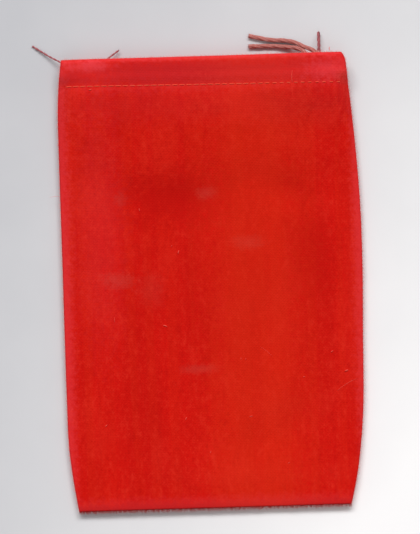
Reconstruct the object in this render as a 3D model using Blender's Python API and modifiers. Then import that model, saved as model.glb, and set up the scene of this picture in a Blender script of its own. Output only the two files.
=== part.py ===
"""Kinchaku drawstring pouch, lying flat on its back with the front cloth up.

Two cloth panels are sewn together at both sides and at the base. Each has its
mouth edge folded in and stitched down as a tunnel. Two drawstrings run through
both tunnels, one pulled out at each side.
X runs across the pouch, +Y towards its mouth and +Z up. The origin is on the
resting plane, under the middle of the pouch.
"""

import math

import bmesh
import bpy
from mathutils import Vector

MM = 0.001

# Cloth and its outline
POUCH_WIDTH = 101.9 * MM
POUCH_HEIGHT = 153.2 * MM
BACK_DROP = 0.6 * MM
CLOTH = 0.5 * MM
LAYER_GAP = 0.3 * MM
SIDE_ALLOWANCE = 7.0 * MM
TUNNEL_ALLOWANCE = 1.8 * MM
ALLOWANCE_START = 1.0 * MM
ALLOWANCE_RUN = 5.0 * MM
SAG = 0.5 * MM

# How far each side lies inside the widest line, by share of the height from the mouth down
LEFT_INSETS = (
    (0.0, 1.75 * MM), (0.06, 0.6 * MM), (0.15, 0.0), (0.42, 0.15 * MM), (0.75, 0.3 * MM),
    (0.853, 0.55 * MM), (0.92, 1.55 * MM), (1.0, 3.35 * MM),
)
RIGHT_INSETS = (
    (0.0, 5.2 * MM), (0.012, 4.2 * MM), (0.035, 3.65 * MM), (0.07, 3.1 * MM), (0.2, 1.35 * MM),
    (0.34, 0.2 * MM), (0.44, 0.0), (0.61, 0.5 * MM), (0.84, 1.85 * MM), (0.94, 4.0 * MM),
    (1.0, 6.1 * MM),
)

# Soft hollows in the front cloth: lines of points in millimetres, with one width and depth
HOLLOW_LINES = (
    ((-33.8, 33.6), (-9.2, 28.8), (16.1, 36.2), (30.4, 29.0), (38.0, 20.7), (35.4, 3.8),
     (23.4, -12.8), (21.1, -23.9)),
    ((41.0, -35.7), (22.3, -50.0), (8.4, -61.8)),
    ((-42.6, 46.8), (-30.7, 57.9)),
)
HOLLOW_REACH = 11.0 * MM
HOLLOW_DEPTH = 0.45 * MM
FLAP_CLEAR = 2.0 * MM
BODY_RUN = 16.0 * MM

# Casing at the mouth
HEM_LEFT = 9.1 * MM
HEM_RIGHT = 10.2 * MM
HEM_TAIL = 2.5 * MM
TUNNEL = 1.8 * MM
CASING_END = 6.5 * MM
PINCH_GAP = 0.15 * MM
FRONT_PINCH_RUN = 3.2 * MM
BACK_PINCH_RUN = 2.1 * MM
HEM_RISE = 0.9 * MM
LOOSE_GAP = 0.35 * MM
EDGE_DROP = 1.4 * MM
EDGE_RUN = 6.0 * MM
CASING_FALL = 38.0 * MM

# Where the cords that leave by the mouth hold its two rims apart
LEFT_LIFT = 0.8 * MM
LEFT_LIFT_FROM = -15.0 * MM
LEFT_LIFT_TO = -31.0 * MM
RIGHT_LIFT = 2.4 * MM
RIGHT_LIFT_FROM = 8.0 * MM
RIGHT_LIFT_TO = 31.0 * MM
LIFT_HOLD = 1.0 * MM
LIFT_FADE = 16.0 * MM

# Sewing thread
THREAD = 0.3 * MM
THREAD_GAP = 0.08 * MM
GROOVE_REACH = 1.0 * MM
SEAM_START = 1.5 * MM

# Cords: each route goes from one cut end to the other. Its points are in millimetres: across,
# above the mouth edge and up
RIGHT_CORD = 1.5 * MM
LEFT_CORD = 0.65 * MM
CORD_BEND = math.radians(28.0)
CORD_STEP = 5.0 * MM
RIGHT_ROUTE = (
    (14.7, 6.5, 0.78), (22.5, 4.85, 0.78), (27.6, 4.45, 1.05), (31.3, 3.35, 1.9),
    (32.9, 2.35, 2.7), (34.9, 1.55, 3.7), (37.0, 0.35, 4.45), (38.9, -0.75, 4.55),
    (40.9, -1.25, 4.5), (43.1, -2.08, 4.05), (44.0, -4.2, 2.95), (43.1, -6.15, 1.85),
    (40.9, -6.95, 1.4), (-43.0, -6.95, 1.4), (-45.2, -6.25, 1.97), (-46.1, -4.55, 3.35),
    (-45.2, -2.85, 4.73), (-43.0, -2.15, 5.3), (-31.0, -2.15, 5.3), (-15.0, -2.15, 4.5),
    (8.0, -2.15, 4.5), (31.0, -2.15, 6.9), (40.9, -2.15, 6.9), (43.0, -2.95, 6.55),
    (43.9, -4.9, 5.7), (43.0, -6.85, 4.85), (40.9, -7.65, 4.5), (38.2, -7.05, 4.5),
    (36.0, -5.05, 4.5), (34.6, -2.55, 4.45), (33.6, -0.15, 4.25), (32.5, 1.05, 3.7),
    (31.0, 1.7, 2.9), (27.5, 2.35, 1.4), (22.4, 2.85, 0.78), (14.6, 2.95, 0.78),
)
LEFT_ROUTE = (
    (-58.8, 5.15, 0.36), (-52.8, 1.25, 1.4), (-49.2, -0.85, 2.55), (-47.6, -2.15, 2.35),
    (-45.6, -3.15, 1.75), (-43.0, -3.35, 1.4), (40.9, -3.35, 1.4), (41.9, -3.05, 1.68),
    (42.35, -2.25, 2.34), (41.9, -1.45, 3.0), (40.9, -1.15, 3.28), (39.6, -0.85, 3.28),
    (38.8, 0.15, 3.1), (38.6, 1.65, 2.2), (38.6, 5.85, 0.45), (38.58, 6.67, 0.83),
    (38.35, 7.05, 1.75), (38.12, 6.67, 2.67), (38.1, 5.85, 3.05), (38.05, 1.65, 3.35),
    (37.95, 0.25, 3.25), (38.3, -1.35, 3.2), (39.4, -2.25, 3.2), (40.9, -2.45, 3.25),
    (42.24, -3.02, 3.81), (42.8, -4.4, 5.09), (42.24, -5.78, 6.37), (40.9, -6.35, 6.9),
    (31.0, -6.35, 6.9), (8.0, -6.35, 4.5), (-15.0, -6.35, 4.5), (-31.0, -6.35, 5.3),
    (-43.0, -6.35, 5.3), (-44.25, -5.91, 5.0), (-44.8, -4.85, 4.33), (-44.25, -3.79, 3.65),
    (-43.0, -3.35, 3.35), (-38.5, -3.05, 3.35), (-34.6, -0.75, 3.3), (-29.6, 2.85, 1.2),
)

# Mesh steps
ARC_STEPS = 4
FLAP_STEPS = 2
END_STEPS = 4
FRONT_COLUMNS = 20
BACK_COLUMNS = 6
CASING_ROWS = (0.0, 0.22, 0.42, 0.6, 0.77, 0.89, 1.0)
TAIL_ROWS = (0.36, 1.0)
BODY_ROWS = (
    0.02, 0.05, 0.09, 0.14, 0.19, 0.25, 0.31, 0.37, 0.44, 0.51, 0.58, 0.65, 0.72, 0.79, 0.85, 0.9,
    0.95, 1.0,
)
MERGE_DISTANCE = 0.01 * MM
SHARP_ANGLE = math.radians(50.0)

# Values that follow from the sizes above
TOP = POUCH_HEIGHT / 2
FOLD_RADIUS = (CLOTH + LAYER_GAP) / 2
FOLD_INSET = CLOTH / 2 + FOLD_RADIUS
HEM_RADIUS = (CLOTH + TUNNEL) / 2
HEM_INSET = CLOTH / 2 + HEM_RADIUS
BACK_MID = CLOTH / 2
EDGE_MID = BACK_MID + 4 * FOLD_RADIUS + CLOTH + LAYER_GAP
RIM_MID = BACK_MID + 2 * HEM_RADIUS + CLOTH + LAYER_GAP
THREAD_ROOM = THREAD + 3 * THREAD_GAP


def smooth(share):
    """Ease from 0 to 1 with level ends."""
    share = min(max(share, 0.0), 1.0)
    return share * share * (3.0 - 2.0 * share)


def mix(low, high, share):
    return low + (high - low) * share


def curve_slopes(stations):
    """Slope at each station of a smooth curve that doesn't overshoot its points."""
    spans = [stop - start for (start, low), (stop, high) in zip(stations, stations[1:])]
    rises = [high - low for (start, low), (stop, high) in zip(stations, stations[1:])]
    steps = [rise / span for rise, span in zip(rises, spans)]
    slopes = [steps[0]]
    for index in range(1, len(steps)):
        before, after = steps[index - 1], steps[index]
        if before * after <= 0.0:
            slopes.append(0.0)
            continue
        share = spans[index] / (spans[index - 1] + spans[index])
        slope = mix(after, before, share)
        limit = 3.0 * min(abs(before), abs(after))
        slopes.append(math.copysign(min(abs(slope), limit), slope))
    slopes.append(steps[-1])
    return slopes


def curve_value(stations, slopes, place):
    """Height at one place of the smooth curve through the stations."""
    last = len(stations) - 2
    index = 0
    while index < last and place > stations[index + 1][0]:
        index += 1
    start, low = stations[index]
    stop, high = stations[index + 1]
    span = stop - start
    u = (place - start) / span
    rise = (1.0 + 2.0 * u) * (1.0 - u) ** 2 * low + u * u * (3.0 - 2.0 * u) * high
    lean = u * (1.0 - u) ** 2 * slopes[index] - u * u * (1.0 - u) * slopes[index + 1]
    return rise + lean * span


def left_side(y):
    share = (TOP - y) / POUCH_HEIGHT
    return -POUCH_WIDTH / 2 + curve_value(LEFT_INSETS, curve_slopes(LEFT_INSETS), share)


def right_side(y):
    share = (TOP - y) / POUCH_HEIGHT
    return POUCH_WIDTH / 2 - curve_value(RIGHT_INSETS, curve_slopes(RIGHT_INSETS), share)


def hem_line(x):
    """Distance of the casing's stitch line below the mouth edge."""
    return mix(HEM_LEFT, HEM_RIGHT, x / POUCH_WIDTH + 0.5)


def tunnel_depth(x, drop, run):
    """Spacing of the casing's two layers, which close on the stitches over a run."""
    stitch = hem_line(x)
    full = 2 * HEM_RADIUS
    pinch = CLOTH + PINCH_GAP
    if drop < stitch:
        return mix(full, pinch, smooth((drop - stitch + run) / run))
    return mix(pinch, CLOTH + LOOSE_GAP, smooth((drop - stitch) / HEM_TAIL))


def rim_height(x, drop):
    """Middle of the front casing's inner layer, drawn up to the stitches and lifted by the cords."""
    lift = LEFT_LIFT * smooth((x - LEFT_LIFT_FROM) / (LEFT_LIFT_TO - LEFT_LIFT_FROM))
    lift += RIGHT_LIFT * smooth((x - RIGHT_LIFT_FROM) / (RIGHT_LIFT_TO - RIGHT_LIFT_FROM))
    below = drop - hem_line(x)
    fade = smooth((below + LIFT_HOLD) / LIFT_FADE)
    rise = HEM_RISE * smooth((below + FRONT_PINCH_RUN) / FRONT_PINCH_RUN)
    return RIM_MID + lift * (1.0 - fade) + rise


def hollow_share(x, y):
    """How deep a place lies in the nearest soft hollow, from 0 beside it to 1 on its line."""
    spot = Vector((x, y))
    nearest = HOLLOW_REACH
    for line in HOLLOW_LINES:
        for start, stop in zip(line, line[1:]):
            start = Vector(start) * MM
            along = Vector(stop) * MM - start
            share = min(max((spot - start).dot(along) / along.length_squared, 0.0), 1.0)
            nearest = min(nearest, (spot - start - along * share).length)
    return 1.0 - smooth(nearest / HOLLOW_REACH)


def front_height(x, y):
    """Middle of the front panel's outer layer."""
    drop = TOP - y
    stitch = hem_line(x)
    reach = min(x - left_side(y), right_side(y) - x)
    top = rim_height(x, drop) + tunnel_depth(x, drop, FRONT_PINCH_RUN)
    edge = mix(EDGE_MID, top - EDGE_DROP, smooth((stitch + SEAM_START - drop) / EDGE_RUN))
    casing = mix(edge, top, math.sin(math.pi / 2 * min(max(reach / CASING_END, 0.0), 1.0)))
    from_base = POUCH_HEIGHT - drop
    clear = smooth((min(reach, from_base) - SIDE_ALLOWANCE - FLAP_CLEAR) / BODY_RUN)
    body = EDGE_MID - (SAG + HOLLOW_DEPTH * hollow_share(x, y)) * clear
    return mix(casing, body, smooth((drop - stitch - HEM_TAIL) / CASING_FALL))


def back_height(x, y):
    """Middle of the back panel's outer layer, raised over the thread of its hem."""
    off = abs(TOP - BACK_DROP - y - hem_line(x))
    return BACK_MID + THREAD_ROOM * (1.0 - smooth(off / GROOVE_REACH))


def fold_rings(allowance):
    """Inset and depth of each ring of a turned-in edge, from the face inwards."""
    rings = []
    for step in range(1, ARC_STEPS + 1):
        turn = math.pi * step / ARC_STEPS
        rings.append((FOLD_INSET - FOLD_RADIUS * math.sin(turn), FOLD_RADIUS * (1 - math.cos(turn))))
    for step in range(1, FLAP_STEPS + 1):
        rings.append((FOLD_INSET + allowance * step / FLAP_STEPS, 2 * FOLD_RADIUS))
    return rings


def allowance_at(y):
    """Width of the side allowance, which is narrow beside the casing."""
    drop = TOP - y
    share = smooth((drop - HEM_RIGHT - ALLOWANCE_START) / ALLOWANCE_RUN)
    return mix(TUNNEL_ALLOWANCE, SIDE_ALLOWANCE, share)


class Panel:
    """One cloth panel: its face, the turned-in side and base edges and the casing."""

    def __init__(self, top, height, turn, columns, pinch_run):
        self.top = top
        self.height = height
        self.turn = turn
        self.pinch_run = pinch_run
        self.inner_columns = columns
        self.columns = columns + 2 * END_STEPS
        self.band = ARC_STEPS + FLAP_STEPS
        self.face_rows = len(CASING_ROWS) + len(TAIL_ROWS) + len(BODY_ROWS) - 1
        self.hem_rows = ARC_STEPS + len(CASING_ROWS) - 1 + len(TAIL_ROWS)
        self.base = self.top + TOP

    def row_drop(self, row, x):
        """Drop below the mouth edge of a face row, counted from the base up."""
        stitch = hem_line(x)
        low = self.base - FOLD_INSET
        drops = [mix(HEM_INSET, stitch, share) for share in CASING_ROWS]
        drops += [stitch + HEM_TAIL * share for share in TAIL_ROWS]
        drops += [mix(stitch + HEM_TAIL, low, share) for share in BODY_ROWS]
        return drops[len(drops) - 1 - row]

    def column_x(self, column, y, inset):
        """Place of a column between the two sides, with short steps beside them."""
        left = left_side(y)
        right = right_side(y)
        if column <= END_STEPS:
            return left + mix(inset, CASING_END, column / END_STEPS)
        if column >= self.columns - END_STEPS:
            return right - mix(inset, CASING_END, (self.columns - column) / END_STEPS)
        share = (column - END_STEPS) / self.inner_columns
        return mix(left + CASING_END, right - CASING_END, share)

    def face_point(self, column, row):
        x = self.column_x(column, 0.0, FOLD_INSET)
        y = self.top - self.row_drop(row, x)
        return self.column_x(column, y, FOLD_INSET), y

    def side_point(self, side, ring, row):
        """Plan place and depth of one ring of the left or right edge."""
        inset, depth = fold_rings(SIDE_ALLOWANCE)[ring - 1]
        start = left_side(0.0) if side < 0 else right_side(0.0)
        low = self.base - FOLD_INSET
        y = self.top - self.row_drop(row, start) * (self.base - inset) / low
        inset = fold_rings(allowance_at(y))[ring - 1][0] if row > 0 else inset
        x = left_side(y) + inset if side < 0 else right_side(y) - inset
        return x, y, depth

    def base_point(self, ring, column):
        inset, depth = fold_rings(SIDE_ALLOWANCE)[ring - 1]
        y = self.top - self.base + inset
        return self.column_x(column, y, inset), y, depth

    def hem_point(self, step, column):
        """Plan place and depth along the fold and the inner layer of the casing."""
        if step <= ARC_STEPS:
            turn = math.pi * step / ARC_STEPS
            drop = HEM_INSET - HEM_RADIUS * math.sin(turn)
            y = self.top - drop
            return self.column_x(column, y, FOLD_INSET), y, HEM_RADIUS * (1 - math.cos(turn))
        rows_down = step - ARC_STEPS
        x, y = self.face_point(column, self.face_rows - rows_down)
        return x, y, tunnel_depth(x, self.top - y, self.pinch_run)

    def corner_point(self, side, ring, step):
        """Place and depth where the side's fold meets the casing's fold."""
        turn = math.pi * step / ARC_STEPS
        y = self.top - HEM_INSET + HEM_RADIUS * math.sin(turn)
        inset, depth = fold_rings(TUNNEL_ALLOWANCE)[ring - 1]
        x = left_side(y) + inset if side < 0 else right_side(y) - inset
        return x, y, math.hypot(depth, HEM_RADIUS * (1 - math.cos(turn)))

    def point(self, column, row):
        side = -1 if column < 0 else 1
        ring = -column if column < 0 else column - self.columns
        if row < 0:
            x, y, depth = self.base_point(-row, min(max(column, 0), self.columns))
        elif ring > 0 and row > self.face_rows:
            x, y, depth = self.corner_point(side, ring, row - self.face_rows)
        elif ring > 0:
            x, y, depth = self.side_point(side, ring, row)
        elif row > self.face_rows:
            x, y, depth = self.hem_point(row - self.face_rows, column)
        else:
            x, y = self.face_point(column, row)
            depth = 0.0
        return Vector((x, y, self.height(x, y) + self.turn * depth))

    def is_cut_away(self, column, row):
        """True for a cell of the grid that lies outside the cut cloth."""
        half = ARC_STEPS // 2
        outside = column < 0 or column >= self.columns
        if row < 0:
            return outside
        if row < self.face_rows:
            return False
        if outside:
            near = column >= -half and column < self.columns + half
            return not (near and row < self.face_rows + half)
        at_end = column < END_STEPS or column >= self.columns - END_STEPS
        return at_end and row >= self.face_rows + half

    def mesh(self, name):
        """The panel's middle surface, folded from a flat grid of cloth."""
        wide = self.columns + 2 * self.band
        tall = self.band + self.face_rows + self.hem_rows
        grid = bmesh.new()
        bmesh.ops.create_grid(grid, x_segments=wide, y_segments=tall, size=0.5)
        cut = []
        for face in grid.faces:
            middle = face.calc_center_median()
            column = math.floor((middle.x + 0.5) * wide) - self.band
            row = math.floor((middle.y + 0.5) * tall) - self.band
            if self.is_cut_away(column, row):
                cut.append(face)
        bmesh.ops.delete(grid, geom=cut, context="FACES")
        for vertex in grid.verts:
            column = round((vertex.co.x + 0.5) * wide) - self.band
            row = round((vertex.co.y + 0.5) * tall) - self.band
            vertex.co = self.point(column, row)
        bmesh.ops.remove_doubles(grid, verts=grid.verts, dist=MERGE_DISTANCE)
        mesh = bpy.data.meshes.new(name)
        grid.to_mesh(mesh)
        grid.free()
        return mesh


def make_material(name, colour, roughness):
    material = bpy.data.materials.new(name)
    material.use_nodes = True
    shader = material.node_tree.nodes["Principled BSDF"]
    shader.inputs["Base Color"].default_value = (*colour, 1.0)
    shader.inputs["Roughness"].default_value = roughness
    return material


def make_panel(collection, name, panel, material):
    mesh = panel.mesh(name)
    mesh.shade_smooth()
    mesh.set_sharp_from_angle(angle=SHARP_ANGLE)
    mesh.materials.append(material)
    cloth = bpy.data.objects.new(name, mesh)
    collection.objects.link(cloth)
    shell = cloth.modifiers.new("Cloth thickness", "SOLIDIFY")
    shell.thickness = CLOTH
    shell.offset = 0.0
    shell.use_even_offset = True
    return cloth


def route_points(route):
    """Points of a smooth line through the route, closer together where it bends."""
    points = [Vector((x * MM, TOP + y * MM, z * MM)) for x, y, z in route]
    along = [0.0]
    for start, stop in zip(points, points[1:]):
        along.append(along[-1] + (stop - start).length)
    tracks = []
    for axis in range(3):
        stations = [(place, point[axis]) for place, point in zip(along, points)]
        tracks.append((stations, curve_slopes(stations)))
    headings = [Vector([track[1][index] for track in tracks]) for index in range(len(points))]
    line = [points[0]]
    for index in range(len(points) - 1):
        bend = headings[index].angle(headings[index + 1])
        length = along[index + 1] - along[index]
        pieces = max(math.ceil(length / CORD_STEP), math.ceil(bend / CORD_BEND))
        for piece in range(1, pieces + 1):
            place = mix(along[index], along[index + 1], piece / pieces)
            line.append(Vector([curve_value(*track, place) for track in tracks]))
    return line


def make_tube(collection, name, points, thickness, resolution, material):
    curve = bpy.data.curves.new(name, "CURVE")
    curve.dimensions = "3D"
    curve.bevel_depth = thickness / 2
    curve.bevel_resolution = resolution
    curve.use_fill_caps = True
    spline = curve.splines.new("POLY")
    spline.points.add(len(points) - 1)
    for spot, point in zip(spline.points, points):
        spot.co = (*point, 1.0)
    curve.materials.append(material)
    tube = bpy.data.objects.new(name, curve)
    collection.objects.link(tube)
    return tube


def hem_thread_points(panel):
    """Row of stitches along the casing, lying in the groove that it pulls into the cloth."""
    row = panel.face_rows - len(CASING_ROWS) + 1
    seat = CLOTH / 2 + THREAD / 2 + THREAD_GAP
    points = []
    for column in range(1, panel.columns):
        x, y = panel.face_point(column, row)
        above = panel.face_point(column, row + 1)
        beside = panel.face_point(column + (1 if x < 0.0 else -1), row)
        level = panel.height(x, y)
        rise = (panel.height(*above) - level) / (above[1] - y)
        lean = (panel.height(*beside) - level) / (beside[0] - x)
        lift = seat * math.hypot(1.0, rise, lean)
        points.append(Vector((x, y, level - panel.turn * lift)))
    return points


def seam_thread_points(panel):
    """Seam down one side, along the base and up the other, in the groove of the folds."""
    middle = ARC_STEPS // 2
    reach = CLOTH / 2 + FOLD_RADIUS + THREAD / 2 + THREAD_GAP
    half = CLOTH / 2 + FOLD_RADIUS + LAYER_GAP / 2
    inset = FOLD_INSET - math.sqrt(reach ** 2 - half ** 2) - CLOTH / 2
    first = panel.face_rows - len(CASING_ROWS) - len(TAIL_ROWS) + 1
    height = BACK_MID + FOLD_RADIUS + half
    left = [panel.side_point(-1, middle, row)[:2] for row in range(first, 0, -1)]
    right = [panel.side_point(1, middle, row)[:2] for row in range(1, first + 1)]
    corner_left = panel.side_point(-1, middle, 0)[:2]
    corner_right = panel.side_point(1, middle, 0)[:2]
    points = [Vector((x + inset, y, height)) for x, y in left]
    points.append(Vector((corner_left[0] + inset, corner_left[1] + inset, height)))
    points.append(Vector((corner_right[0] - inset, corner_right[1] + inset, height)))
    points += [Vector((x - inset, y, height)) for x, y in right]
    return points


def build():
    for item in list(bpy.data.objects):
        bpy.data.objects.remove(item)
    collection = bpy.data.collections.new("kinchaku_drawstring_pouch")
    bpy.context.scene.collection.children.link(collection)

    flannel = make_material("red_flannel", (0.6, 0.012, 0.006), 0.95)
    flannel_back = make_material("red_flannel_back", (0.58, 0.012, 0.006), 0.95)
    thick = make_material("maroon_cord", (0.33, 0.10, 0.09), 0.85)
    thin = make_material("maroon_thin_cord", (0.31, 0.10, 0.095), 0.85)
    gold = make_material("orange_thread", (0.66, 0.10, 0.02), 0.7)
    gold_back = make_material("orange_thread_back", (0.66, 0.10, 0.02), 0.7)
    red_thread = make_material("red_thread", (0.45, 0.01, 0.006), 0.7)

    front = Panel(TOP, front_height, -1.0, FRONT_COLUMNS, FRONT_PINCH_RUN)
    back = Panel(TOP - BACK_DROP, back_height, 1.0, BACK_COLUMNS, BACK_PINCH_RUN)
    make_panel(collection, "front_panel", front, flannel)
    make_panel(collection, "back_panel", back, flannel_back)

    make_tube(collection, "front_hem_thread", hem_thread_points(front), THREAD, 1, gold)
    make_tube(collection, "back_hem_thread", hem_thread_points(back), THREAD, 1, gold_back)
    make_tube(collection, "seam_thread", seam_thread_points(front), THREAD, 1, red_thread)

    make_tube(collection, "drawstring_right", route_points(RIGHT_ROUTE), RIGHT_CORD, 2, thick)
    make_tube(collection, "drawstring_left", route_points(LEFT_ROUTE), LEFT_CORD, 2, thin)


build()
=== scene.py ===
"""Kinchaku drawstring pouch of red cotton flannel, lying flat with its front cloth up.

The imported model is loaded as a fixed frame, and each cloth panel, stitch row and
cord is dressed over the solid that stands for it. Lengths are in metres, with X
across the pouch, +Y towards its mouth and +Z up.
"""

import math
import random
from collections import namedtuple

import bmesh
import bpy
from bpy.props import FloatProperty, FloatVectorProperty, PointerProperty
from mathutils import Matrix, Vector, noise


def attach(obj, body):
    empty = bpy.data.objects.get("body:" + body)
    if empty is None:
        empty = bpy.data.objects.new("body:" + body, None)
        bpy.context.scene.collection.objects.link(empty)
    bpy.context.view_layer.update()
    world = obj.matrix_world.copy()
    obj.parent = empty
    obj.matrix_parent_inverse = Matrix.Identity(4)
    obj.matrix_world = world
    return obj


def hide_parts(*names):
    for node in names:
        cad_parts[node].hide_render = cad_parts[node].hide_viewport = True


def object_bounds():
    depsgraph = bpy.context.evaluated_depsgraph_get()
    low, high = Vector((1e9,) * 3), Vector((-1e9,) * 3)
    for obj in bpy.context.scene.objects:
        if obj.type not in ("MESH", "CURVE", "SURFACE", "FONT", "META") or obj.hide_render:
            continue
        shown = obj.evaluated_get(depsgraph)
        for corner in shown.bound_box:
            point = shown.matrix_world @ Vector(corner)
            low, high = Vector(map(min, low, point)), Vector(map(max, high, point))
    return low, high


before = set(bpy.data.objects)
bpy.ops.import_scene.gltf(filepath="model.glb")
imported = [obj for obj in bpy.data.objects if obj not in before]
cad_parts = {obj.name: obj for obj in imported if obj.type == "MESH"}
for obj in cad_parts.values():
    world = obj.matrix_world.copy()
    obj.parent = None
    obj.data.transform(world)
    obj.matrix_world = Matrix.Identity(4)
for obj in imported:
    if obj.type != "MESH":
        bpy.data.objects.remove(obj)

bl_info = {
    "name": "Kinchaku drawstring pouch",
    "version": (1, 0, 0),
    "blender": (4, 5, 0),
    "location": "3D View > Sidebar > Pouch",
    "description": "Builds the cloth, stitching and cords of a small flat drawstring pouch",
    "category": "Add Mesh",
}

MM = 0.001
CAD_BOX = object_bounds()

# The photographed frame, the point of the pouch at its middle, and the camera above it
PHOTO_SIZE = (420, 534)
PIXEL = 25.4 * MM / 75
PHOTO_TURN = math.radians(1.7)
VIEW_CENTRE = (-0.79 * MM, 5.11 * MM)
CAMERA_HEIGHT = 1.5
CLOTH_LEVEL = 4.0 * MM
SENSOR = 24.0
NEAR_AND_FAR = (0.05, 20.0)

# Each lamp: name, place, size and power. Both point at the pouch's middle
LAMPS = (
    ("key lamp", (-0.05, 2.6, 2.95), (4.1, 1.1), 156.0),
    ("fill lamp", (0.1, -0.7, 1.0), (1.2, 0.8), 1.4),
)
WORLD_LEVEL = 0.31
BOARD_HALF = 1.6
BOARD_CORNERS = ((-1, -1), (1, -1), (1, 1), (-1, 1))

# How far each side lies inside the widest line, in millimetres, by share of the height from the
# mouth down
LEFT_INSETS = (
    (0.0, 1.75), (0.06, 0.6), (0.15, 0.0), (0.42, 0.15), (0.75, 0.3),
    (0.853, 0.55), (0.92, 1.55), (1.0, 3.35),
)
RIGHT_INSETS = (
    (0.0, 5.2), (0.012, 4.2), (0.035, 3.65), (0.07, 3.1), (0.2, 1.35),
    (0.34, 0.2), (0.44, 0.0), (0.61, 0.5), (0.84, 1.85), (0.94, 4.0),
    (1.0, 6.1),
)

# Soft hollows in the front cloth: lines of points in millimetres
HOLLOW_LINES = (
    ((-33.8, 33.6), (-9.2, 28.8), (16.1, 36.2), (30.4, 29.0), (38.0, 20.7), (35.4, 3.8),
     (23.4, -12.8), (21.1, -23.9)),
    ((41.0, -35.7), (22.3, -50.0), (8.4, -61.8)),
    ((-42.6, 46.8), (-30.7, 57.9)),
)
HOLLOW_REACH = 11.0 * MM
HOLLOW_DEPTH = 0.45 * MM

# How the cloth lies: its layers' gaps, the rises at its mouth, and the runs over which it falls
TUNNEL_ALLOWANCE = 1.8 * MM
SAG = 0.5 * MM
BACK_DROP = 0.6 * MM
LAYER_GAP = 0.3 * MM
HEM_TAIL = 2.5 * MM
TUNNEL = 1.8 * MM
CASING_END = 6.5 * MM
PINCH_GAP = 0.15 * MM
FRONT_PINCH_RUN = 3.2 * MM
BACK_PINCH_RUN = 2.1 * MM
HEM_RISE = 1.45 * MM
LOOSE_GAP = 0.35 * MM
EDGE_DROP = 1.4 * MM
EDGE_RUN = 6.0 * MM
CASING_FALL = 38.0 * MM
LEFT_LIFT = (0.8 * MM, -15.0 * MM, -31.0 * MM)
RIGHT_LIFT = (2.4 * MM, 8.0 * MM, 31.0 * MM)
LIFT_HOLD = 1.0 * MM
LIFT_FADE = 16.0 * MM
SHOULDER = 1.5 * MM
FLAP_CLEAR = 2.0 * MM
BODY_RUN = 16.0 * MM
ALLOWANCE_START = 1.0 * MM
ALLOWANCE_RUN = 5.0 * MM
THREAD_RIDGE = 0.54 * MM
THREAD_REACH = 1.0 * MM

# Steps of a panel's grid: round a fold, over the turned-in cloth, beside each side, between them,
# down the casing, down its tail and down the body. Points that meet at its corners are merged
FRONT_STEPS = (8, 6, 8, 148, 14, 4, 124)
BACK_STEPS = (6, 3, 6, 96, 10, 3, 90)
MERGE_DISTANCE = 0.004 * MM

# Creases of the front cloth: scales across and along, place in the noise and height in millimetres
CREASES = ((38.0, 26.0, 3.1, 0.20), (150.0, 70.0, 8.4, 0.075), (420.0, 260.0, 5.7, 0.02))
CREASE_RUN = 5.0 * MM
CREASE_CALM = 9.0 * MM
CALM_SHARE = 0.35
SIDE_CALM = 3.0 * MM

# Puckers along the stitches: height and reach in millimetres, with the ripples' noise scale
PUCKER_DIP = (0.07, 0.9)
PUCKER_RIPPLE = (0.035, 4.5)
PUCKER_SCALE = 240.0
DIP_LEAST = 0.55
DIP_SWING = 0.45

# Ridges over the two cords and the dip between them: drop, reach and height in millimetres
CORD_RIDGES = ((2.6, 2.2, 0.07), (6.9, 1.9, 0.06), (4.9, 1.5, -0.05))
RIDGE_WANDER = 0.5 * MM
RIDGE_SCALE = 45.0

# Cord routes in millimetres, from one cut end to the other: across, above the mouth edge and up
RIGHT_ROUTE = (
    (14.7, 6.5, 0.78), (22.5, 4.85, 0.78), (27.6, 4.45, 1.05), (31.3, 3.35, 1.9),
    (32.9, 2.35, 2.7), (34.9, 1.55, 3.7), (37.0, 0.35, 4.45), (38.9, -0.75, 4.55),
    (40.9, -1.25, 4.5), (43.1, -2.08, 4.05), (44.0, -4.2, 2.95), (43.1, -6.15, 1.85),
    (40.9, -6.95, 1.4), (-43.0, -6.95, 1.4), (-45.2, -6.25, 1.97), (-46.1, -4.55, 3.35),
    (-45.2, -2.85, 4.73), (-43.0, -2.15, 5.3), (-31.0, -2.15, 5.3), (-15.0, -2.15, 4.5),
    (8.0, -2.15, 4.5), (31.0, -2.15, 6.9), (40.9, -2.15, 6.9), (43.0, -2.95, 6.55),
    (43.9, -4.9, 5.7), (43.0, -6.85, 4.85), (40.9, -7.65, 4.5), (38.2, -7.05, 4.5),
    (36.0, -5.05, 4.5), (34.6, -2.55, 4.45), (33.6, -0.15, 4.25), (32.5, 1.05, 3.7),
    (31.0, 1.7, 2.9), (27.5, 2.35, 1.4), (22.4, 2.85, 0.78), (14.6, 2.95, 0.78),
)
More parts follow.
